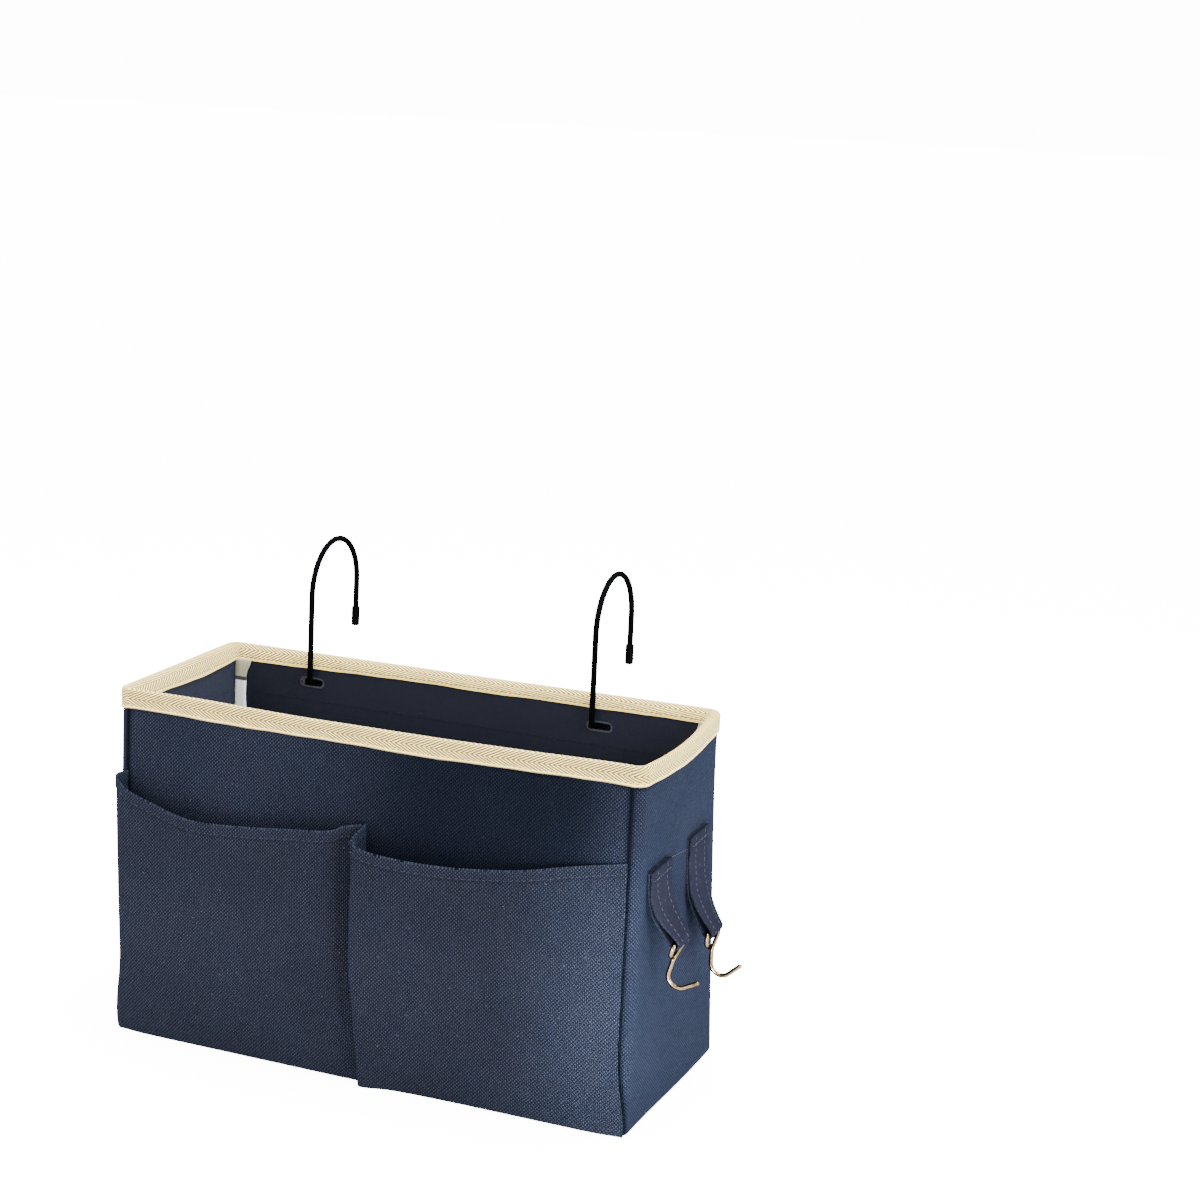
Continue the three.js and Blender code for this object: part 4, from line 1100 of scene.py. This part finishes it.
def tape_material():
    """Cream cotton tape: dark grooves between pale ribs, uneven yarns, a painted warmer tint on the
    right side, standing in for how the light falls there, needle dimples in a row near each edge,
    darkened with painted shade, and a painted shade along the lower edge outside."""
    made, tree, shader = plain_material("cream herringbone tape", Roughness=0.88, Sheen_Weight=0.2)
    place = cloth_place(tree)
    ribs = add_node(tree, "ShaderNodeGroup", node_tree=herringbone_group())
    tree.links.new(place, ribs.inputs["Tape place"])
    for name, value in (("Pitch", rib_pitch), ("Slope", rib_slope), ("Face", tape_face),
                        ("Width", float(tape_width)), ("Selvedge", selvedge)):
        ribs.inputs[name].default_value = value
    u, v, _ = split(tree, place)
    tone = ramp(tree, ribs.outputs["Yarn"], 0.2, 0.8, 0.90, 1.06)
    slow = ramp(tree, noise(tree, place, 40.0, 3.0), 0.3, 0.7, 0.94, 1.04)
    cream = scaled(tree, (0.95, 0.68, 0.155), calc(tree, "MULTIPLY", tone, slow))
    colour = mix_colours(tree, ribs.outputs["Groove"], cream, (0.065, 0.037, 0.011, 1))
    # A painted warmer tint on the tape's right side, standing in for how the light falls there.
    colour = mix_colours(tree, mark(tree, "sunned"), colour, (1.0, 0.97, 0.50, 1), "MULTIPLY")
    rim = calc(tree, "MINIMUM", v, calc(tree, "SUBTRACT", float(tape_width), v))
    row = calc(tree, "ABSOLUTE", calc(tree, "SUBTRACT", rim, tape_stitch_height))
    step = calc(tree, "ABSOLUTE", calc(tree, "SUBTRACT", calc(tree, "FRACT", calc(
        tree, "DIVIDE", u, tape_stitch_pitch)), 0.5))
    near = calc(tree, "ADD", calc(tree, "DIVIDE", row, dimple_reach), calc(tree, "MULTIPLY", step, 9.0))
    dimple = ramp(tree, near, 0.3, 1.0, 1.0, 0.0)
    # Painted shade in the needle dimples.
    colour = mix_colours(tree, calc(tree, "MULTIPLY", dimple, 0.7), colour, (0.20, 0.16, 0.11, 1))
    # Painted shade along the tape's lower outer edge.
    painted_edge_shade = ramp(tree, v, edge_shade_from, edge_shade_to, 0.9, 0.0)
    colour = mix_colours(tree, painted_edge_shade, colour, (0.030, 0.022, 0.012, 1))
    fuzz = calc(tree, "MULTIPLY_ADD", noise(tree, place, 4200.0, 2.0), 0.3, ribs.outputs["Height"])
    dress(tree, shader, colour, calc(tree, "SUBTRACT", fuzz, dimple), rib_depth)
    return made


lines = np.linspace(0, perimeter, 881)[:-1]
outer, uv = tape_grid(lines)
inner = outer - grid_normals(outer, closed=True) * tape_thickness
# Where the tape gets its painted warmer tint: the right side, fading at its ends.
sunned = smooth((uv[..., 0] - front_reach) / side_tint_fade) * smooth((back_right - uv[..., 0]) / side_tint_fade)
piece = add_piece("rim_tape", cloth_shell(outer, inner, uv, closed=True, sunned=sunned),
                  tape_material(), "caddy", "binding_cream", "rim_binding")

cream_thread = thread_material("cream thread", (0.84, 0.63, 0.26, 1), (0.36, 0.25, 0.10, 1), 0.65)
fine = np.linspace(0, perimeter, 2400)
outer, _ = tape_grid(fine)
normals = grid_normals(outer)
seams = []
for rim in (tape_stitch_height, tape_width - tape_stitch_height):
    row = int(np.argmin(np.abs(tape_run - rim)))
    seams.append(along_line(outer[row] - thread_lift * normals[row], normals[row], tape_stitch_pitch))
add_stitches("rim_tape_stitches", seams, tape_stitch_size, cream_thread, "caddy", "binding_cream")


# Rail hooks and caps
# Steel wire, bent in one plane and coated black: a leg between board and canvas, a step out through
# the buttonhole, a shank, a round arch over the bed rail and a short far leg with a rubber cap.
rail_wire, hook_throat = 2.8 * mm, 48.6 * mm
leg_y, shank_y, leg_foot = 50.0 * mm, 44.9 * mm, 110.45 * mm
step_bend, apex_z, far_end_z = 2.55 * mm, 219 * mm, 171.8 * mm
coat_uneven, uneven_long, uneven_short, peel_depth = 0.006, 3.3 * mm, 1.9 * mm, 0.012 * mm
hook_places = {"left_hook": -80 * mm, "right_hook": 67.5 * mm}
cap_bottom, cap_length, cap_radius, cap_round = 170.3 * mm, 9.6 * mm, 2 * mm, 0.9 * mm
cap_bore, cap_wall, cap_lip_gap = 1.6 * mm, 1.2 * mm, 1.2 * mm
bead_place, bead_out, bead_reach = 6.4 * mm, 0.10 * mm, 0.35 * mm


def bent_wire(corners, steps, spacing=2.5 * mm):
    """The centre line of a wire: straight runs between corners (place, radius), and round each corner
    an arc: start + radius (sin a into the bend's first direction + (1 - cos a) towards its side)."""
    places = [np.array(place, float) for place, _ in corners]
    line = [places[0][None]]
    for before, here, after, (_, radius) in zip(places, places[1:], places[2:], corners[1:-1]):
        first, second = unit(here - before), unit(after - here)
        turn = np.arccos(np.clip(first @ second, -1, 1))
        side = unit(second - first * (first @ second))
        angle = np.linspace(0, turn, max(int(steps * turn / (np.pi / 2)), 3))[:, None]
        line.append(here - first * radius * np.tan(turn / 2)
                    + radius * (np.sin(angle) * first + (1 - np.cos(angle)) * side))
    line.append(places[-1][None])
    dense = []
    for one, two in zip(line, line[1:]):
        gap = two[0] - one[-1]
        count = max(int(np.linalg.norm(gap) / spacing), 1)
        dense += [one, one[-1] + gap * np.linspace(0, 1, count + 1)[1:-1, None]]
    line = np.concatenate(dense + [line[-1]])
    far = np.concatenate([[True], np.linalg.norm(np.diff(line, axis=0), axis=1) > 1e-6])
    return line[far]


def round_shape(rings, poles, radius, run):
    """A round body from rings of points along it and a pole at each end. Its texture place is the
    length round it, 2 pi radius times the turn's share, and the length travelled along it."""
    count, sides = rings.shape[:2]
    quads, places = lattice(count, sides, False, True)
    uv = np.stack(np.meshgrid(np.arange(sides + 1) * 2 * np.pi * radius / sides, run), axis=-1)
    ends_uv = [np.broadcast_to(uv[row, 0], (sides, 3, 2)) for row in (0, -1)]
    return (np.concatenate([rings.reshape(-1, 3), poles]), [quads, *pole_fans(count * sides, sides)],
            [uv.reshape(-1, 2)[places], *ends_uv], {})


def tube(line, radius, reference, sides, uneven):
    """A round wire along a line: rings of the radius about it, uneven by a product of two sines, in a
    frame made from one reference direction, closed by half round ends."""
    heading = unit(np.gradient(line, axis=0))
    cap = np.sin(np.linspace(0, np.pi / 2, 6))[1:-1]
    near = line[0] - heading[0] * radius * cap[::-1, None]
    far = line[-1] + heading[-1] * radius * cap[:, None]
    centres = np.concatenate([near, line, far])
    heading = np.concatenate([heading[:1].repeat(4, 0), heading, heading[-1:].repeat(4, 0)])
    size = np.concatenate([np.sqrt(1 - cap[::-1] ** 2), np.ones(len(line)), np.sqrt(1 - cap ** 2)])
    run = travelled(centres)
    size = size * radius * (1 + uneven * np.sin(run / uneven_long) * np.sin(run / uneven_short))
    normal = unit(np.array(reference) - heading * (heading @ np.array(reference))[:, None])
    side = np.cross(heading, normal)
    angle = 2 * np.pi * np.arange(sides) / sides
    rings = centres[:, None] + size[:, None, None] * (
        np.cos(angle)[None, :, None] * normal[:, None] + np.sin(angle)[None, :, None] * side[:, None])
    poles = [line[0] - heading[0] * radius, line[-1] + heading[-1] * radius]
    return round_shape(rings, poles, radius, run)


def turned(profile, centre, sides=40):
    """A turned body: a profile (radius, height) carried round an upright axis. The profile starts and
    ends on the axis, where its poles are."""
    angle = 2 * np.pi * np.arange(sides) / sides
    radius, height = profile[1:-1, 0], profile[1:-1, 1]
    rings = np.stack([radius[:, None] * np.cos(angle), radius[:, None] * np.sin(angle),
                      height[:, None] + 0 * angle], axis=-1) + np.array(centre)
    poles = np.array(centre) + [(0, 0, profile[0, 1]), (0, 0, profile[-1, 1])]
    return round_shape(rings, poles, cap_radius, travelled(profile[1:-1]))


def coated_material(name, colour, dust, roughness, grain):
    """A matt coating with a fine orange-peel skin, uneven roughness and a little dust on its grain."""
    made, tree, shader = plain_material(name)
    shader.inputs["Specular IOR Level"].default_value = 0
    place = add_node(tree, "ShaderNodeTexCoord").outputs["Object"]
    skin = noise(tree, place, grain, 3.0, 0.6)
    patch = noise(tree, place, 120.0, 3.0)
    tree.links.new(ramp(tree, patch, 0.3, 0.7, roughness - 0.07, roughness + 0.10),
                   shader.inputs["Roughness"])
    dusty = mix_colours(tree, ramp(tree, skin, 0.62, 0.90, 0.0, 0.35), colour, dust)
    dress(tree, shader, dusty, skin, peel_depth, 0.5)
    return made


black_coat = coated_material("black wire coating", (0.0013, 0.0013, 0.0015, 1),
                             (0.006, 0.006, 0.006, 1), 0.38, 1500.0)
black_rubber = coated_material("black rubber", (0.0015, 0.0015, 0.0016, 1),
                               (0.006, 0.006, 0.006, 1), 0.55, 2600.0)

round_turn, mouth = np.linspace(-np.pi / 2, 0, 8), np.linspace(0, np.pi, 7)
lip = (cap_radius - cap_bore) / 2
outer_side = np.linspace(cap_round, cap_length - lip - cap_lip_gap, 8)
bead = cap_radius + bead_out * np.exp(-((outer_side - bead_place) / bead_reach) ** 2)
cap_profile = np.concatenate([
    [(0, 0)],
    np.stack([cap_radius - cap_round + cap_round * np.cos(round_turn),
              cap_round + cap_round * np.sin(round_turn)], 1),
    np.stack([bead, outer_side], 1)[1:],
    np.stack([cap_radius - lip + lip * np.cos(mouth), cap_length - lip + lip * np.sin(mouth)], 1),
    [(cap_bore, cap_wall), (0, cap_wall)]])
for body, hook_x in hook_places.items():
    far_y, arch_radius = shank_y + hook_throat, hook_throat / 2
    corners = [((hook_x, leg_y, leg_foot), 0), ((hook_x, leg_y, slot_z), step_bend),
               ((hook_x, shank_y, slot_z), step_bend), ((hook_x, shank_y, apex_z), arch_radius),
               ((hook_x, far_y, apex_z), arch_radius), ((hook_x, far_y, far_end_z), 0)]
    wire = tube(bent_wire(corners, steps=24), rail_wire / 2, (1, 0, 0), 20, coat_uneven)
    add_piece(f"{body}_wire", wire, black_coat, body, "hook_black", body.replace("hook", "rail_hook"))
    add_piece(f"{body}_rubber_cap", turned(cap_profile, (hook_x, far_y, cap_bottom)), black_rubber,
              body, "cap_black", body + "_cap")


# Side loops
# A band of the same canvas, its edges turned in and sewn with two lines of thread. It is sewn flat
# to the right side at its top, stands off below, and is gathered where it folds round a small hook.
strap_face_x, strap_top, strap_sewn = 127.8 * mm, 117 * mm, 5 * mm
strap_width, strap_fold_width, strap_thickness = 25 * mm, 15 * mm, 1.2 * mm
strap_splay, fold_radius, layer_gap = np.radians(34), 2.0 * mm, 0.3 * mm
strap_places = {"front": (-29 * mm, 32 * mm, 12.4 * mm), "rear": (23 * mm, 45 * mm, 11.2 * mm)}
crease_depth, curl_depth, ripple_depth, ripple_length = 0.55 * mm, 0.35 * mm, 0.12 * mm, 2.9 * mm
loose_reach, fold_rows, wide_share, loop_weave_pitch = 8 * mm, 16, 0.62, 0.62 * mm
loop_thread_pitch, loop_thread_size, loop_jitter = 2.7 * mm, (1.7 * mm, 0.4 * mm, 0.32 * mm), 0.15 * mm
cross_drop, cross_half, cross_lift, cross_thread_pitch = 4 * mm, 11 * mm, 2.72 * mm, 2.5 * mm
panel_thread_from, panel_thread_to = (31 * mm, 115.5 * mm), (58 * mm, 112 * mm)
panel_thread_pitch, panel_thread_size = 2.9 * mm, (2.2 * mm, 0.45 * mm, 0.4 * mm)
panel_thread_lift, from_seam = 0.1 * mm, 30 * mm


def strap_line(drop, stand_off):
    """The loop's middle line in x and z from its top: down the front layer, half round the bar with
    the fold's radius, and up the rear layer."""
    rear_x = strap_thickness / 2
    front_x = rear_x + strap_thickness + layer_gap
    bar = np.array([stand_off - layer_gap, -drop])
    run = drop - strap_sewn
    outward = np.array([np.cos(strap_splay), np.sin(strap_splay)])
    down = np.array([np.sin(strap_splay), -np.cos(strap_splay)])
    front_end, rear_end = bar + outward * fold_radius, bar - outward * fold_radius
    front = bezier(np.array([front_x, -strap_sewn]), np.array([front_x, -strap_sewn - run / 2]),
                   front_end - down * run / 3, front_end, 36)
    rear = bezier(rear_end, rear_end - down * run / 4, np.array([rear_x, -strap_sewn - run / 2]),
                  np.array([rear_x, -strap_sewn]), 36)
    turn = strap_splay - np.pi * np.linspace(0, 1, 18)[1:-1]
    fold = bar + fold_radius * np.stack([np.cos(turn), np.sin(turn)], axis=1)
    top = np.linspace(0, -strap_sewn, 7)[:-1]
    return np.concatenate([np.stack([0 * top + front_x, top], 1), front, fold, rear,
                           np.stack([0 * top + rear_x, top[::-1]], 1)])


def strap_faces(place, drop, stand_off, across):
    """Outer and inner faces of a loop at shares of its width from -1 to 1: the middle line, as wide
    as the gather lets it be, with creases that run into the fold and edges that curl a little."""
    line = strap_line(drop, stand_off)
    heading = unit(np.gradient(line, axis=0))
    out = np.stack([-heading[:, 1], heading[:, 0]], axis=1)
    gather = smooth((-line[:, 1] - drop / 2) / (drop / 2))[:, None]
    half = (strap_width + (strap_fold_width - strap_width) * gather) / 2
    front = (np.arange(len(line)) < len(line) / 2)[:, None]
    row = np.arange(len(line))[:, None]
    fold_zone = np.exp(-((row - len(line) / 2) / fold_rows) ** 4)
    crease = crease_depth * gather * (1 - fold_zone) * (0.5 + 0.5 * np.cos(2.6 * np.pi * across))
    loose = smooth((-line[:, 1:] - strap_sewn) / loose_reach)
    curl = curl_depth * np.abs(across) ** 6 * loose * (1 - gather)
    ripple = ripple_depth * loose * np.sin(line[:, 1:] / ripple_length + 2 * across)
    shift = (ripple * (1 - gather) - crease - curl) * front
    thick = strap_thickness / 2 * (1 - 0.35 * np.abs(across) ** 8)
    y = place - across * half + 0 * line[:, :1]

    def face(offset):
        x = strap_face_x + line[:, :1] - out[:, :1] * offset
        z = strap_top + line[:, 1:] - out[:, 1:] * offset
        return np.stack([x, y, z], axis=-1)

    run = travelled(line)
    uv = np.stack([across * strap_width / 2 + 0 * half, -run[:, None] + 0 * across], axis=-1)
    return face(-thick - shift), face(thick - shift), uv, run


strap_canvas = woven_material(
    "loop canvas", (0.0151, 0.0125, 0.0186, 1), (0.0054, 0.0046, 0.0073, 1),
    (0.0012, 0.0013, 0.0023, 1), loop_weave_pitch, (0.0466, 0.0473, 0.0533, 1))
pale_thread = thread_material("pale thread", (0.0414, 0.0400, 0.0429, 1),
                              (0.0148, 0.0148, 0.0163, 1))
for end, (place, drop, stand_off) in strap_places.items():
    across = np.sin(np.linspace(-1, 1, 33) * np.pi / 2)[None]
    outer, inner, uv, run = strap_faces(place, drop, stand_off, across)
    edge = np.exp(-((1 - np.abs(across)) / 0.05) ** 2) + 0 * outer[..., 0]
    piece = add_piece(f"{end}_loop_cloth", cloth_shell(outer, inner, uv, wear=0.5 * edge),
                      strap_canvas, None, "canvas_navy", f"{end}_strap_loop")
    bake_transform(piece)
    lines = []
    for share in (-0.5, 0.5):
        outer, *_ = strap_faces(place, drop, stand_off, share + np.array([[-0.02, 0, 0.02]]))
        normals = grid_normals(outer)[:, 1]
        lines.append(along_line(outer[:, 1] + thread_lift * normals, normals, loop_thread_pitch,
                                loop_jitter))
    row = np.linspace((strap_face_x + cross_lift, place - cross_half, strap_top - cross_drop),
                      (strap_face_x + cross_lift, place + cross_half, strap_top - cross_drop), 40)
    lines.append(along_line(row, np.broadcast_to((1.0, 0, 0), row.shape), cross_thread_pitch,
                            loop_jitter))
    piece = add_stitches(f"{end}_loop_stitches", lines, loop_thread_size, pale_thread, None,
                         "canvas_navy")
    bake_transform(piece)
along, height = np.linspace(panel_thread_from, panel_thread_to, 20).T
row, normals = wall_face(side_starts[1] + along, height, np.full(20, from_seam))
normals = np.append(normals, np.zeros((20, 1)), axis=1)
row = along_line(row + panel_thread_lift * normals, normals, panel_thread_pitch, thread_jitter)
add_stitches("side_panel_stitches", [row], panel_thread_size, pale_thread, "caddy", "canvas_navy")


# Small hooks
# Bright wire with a thin pale gold plating, bent into an eye whose bar lies in the loop's fold, a
# stem, and a J that opens away from the box.
small_wire, eye_bend, eye_depth, eye_half = 2 * mm, 2 * mm, 4.4 * mm, 8.9 * mm
stem_top, stem_length = 9 * mm, 21 * mm
j_radius, j_run, j_rise = 5 * mm, 7 * mm, np.radians(42)
wire_uneven, drawn_grain, drawn_depth, wire_spacing = 0.01, (9000, 260, 1), 0.02 * mm, 1.2 * mm
hook_tilts = {"front": np.radians(16), "rear": 0.0}


def plated_material(name, colour, tarnish):
    """Thin plating on drawn wire: fine lines along the wire, cloudy gloss and darker tarnish."""
    made, tree, shader = plain_material(name, Metallic=1.0)
    shader.inputs["Specular Tint"].default_value = (0.10, 0.06, 0.03, 1)
    stretched = add_node(tree, "ShaderNodeMapping", {0: cloth_place(tree), 3: drawn_grain}).outputs[0]
    drawn = noise(tree, stretched, 1.0, 2.0)
    cloud = noise(tree, add_node(tree, "ShaderNodeTexCoord").outputs["Object"], 220.0, 4.0)
    tree.links.new(ramp(tree, cloud, 0.3, 0.7, 0.10, 0.24), shader.inputs["Roughness"])
    dulled = mix_colours(tree, ramp(tree, cloud, 0.45, 0.68, 0.0, 0.80), colour, tarnish)
    dress(tree, shader, dulled, drawn, drawn_depth, 0.5)
    return made


pale_plating = plated_material("pale gold plating", (0.2050, 0.1450, 0.0800, 1),
                               (0.0560, 0.0360, 0.0200, 1))
tangent = j_radius * np.tan(j_rise / 2)
reach = tangent + j_run
near_corner = np.array([0, -eye_half, -eye_depth])
corners = [(near_corner + 0.7 * (np.array([0, 0, -stem_top]) - near_corner), 0),
           (near_corner, eye_bend), ((0, -eye_half, 0), eye_bend), ((0, eye_half, 0), eye_bend),
           ((0, eye_half, -eye_depth), eye_bend), ((0, 0, -stem_top), eye_bend),
           ((0, 0, -stem_length), j_radius), ((j_radius + tangent, 0, -stem_length), j_radius),
           ((j_radius + tangent + reach * np.cos(j_rise), 0,
             -stem_length + reach * np.sin(j_rise)), 0)]
line = bent_wire(corners, steps=16, spacing=wire_spacing)
for end, (place, drop, stand_off) in strap_places.items():
    tilt, bar = hook_tilts[end], (strap_face_x + stand_off - layer_gap, place, strap_top - drop)
    turn = np.array([[np.cos(tilt), 0, np.sin(tilt)], [0, 1, 0], [-np.sin(tilt), 0, np.cos(tilt)]])
    wire = tube(line @ turn.T + bar, small_wire / 2, turn @ (-0.6, 0.5, 0.6), 16, wire_uneven)
    add_piece(f"{end}_small_hook_wire", wire, pale_plating, f"{end}_small_hook", "hook_pale",
              f"{end}_accessory_hook")


# Boards
# Grey recycled cardboard, hidden between the canvas and the lining but for the windows behind the
# buttonholes.
board_card = felt_material("grey cardboard", (0.34, 0.32, 0.29, 1), (0.22, 0.21, 0.19, 1))
board_inset, board_thickness = 1.1 * mm, 2.8 * mm
board_floor, board_top, board_half = 4.2 * mm, 161.1 * mm, 47.5 * mm
outer, inner, uv = strip_cloth((wall_half_x - board_inset, -board_half, board_floor), (0, 1, 0),
                               (0, 0, 1), 2 * board_half, board_top - board_floor, board_thickness,
                               24, 40)
for face in (outer, inner):
    face[..., 0] += side_bow(face, face[..., 2])
add_piece("right_board_card", cloth_shell(outer, inner, uv), board_card, "caddy", "stiffener_board",
          "right_board")
for node in ("front_board", "back_board", "left_board", "base_board"):
    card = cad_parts[node].data
    card.materials.clear()
    card.materials.append(board_card)
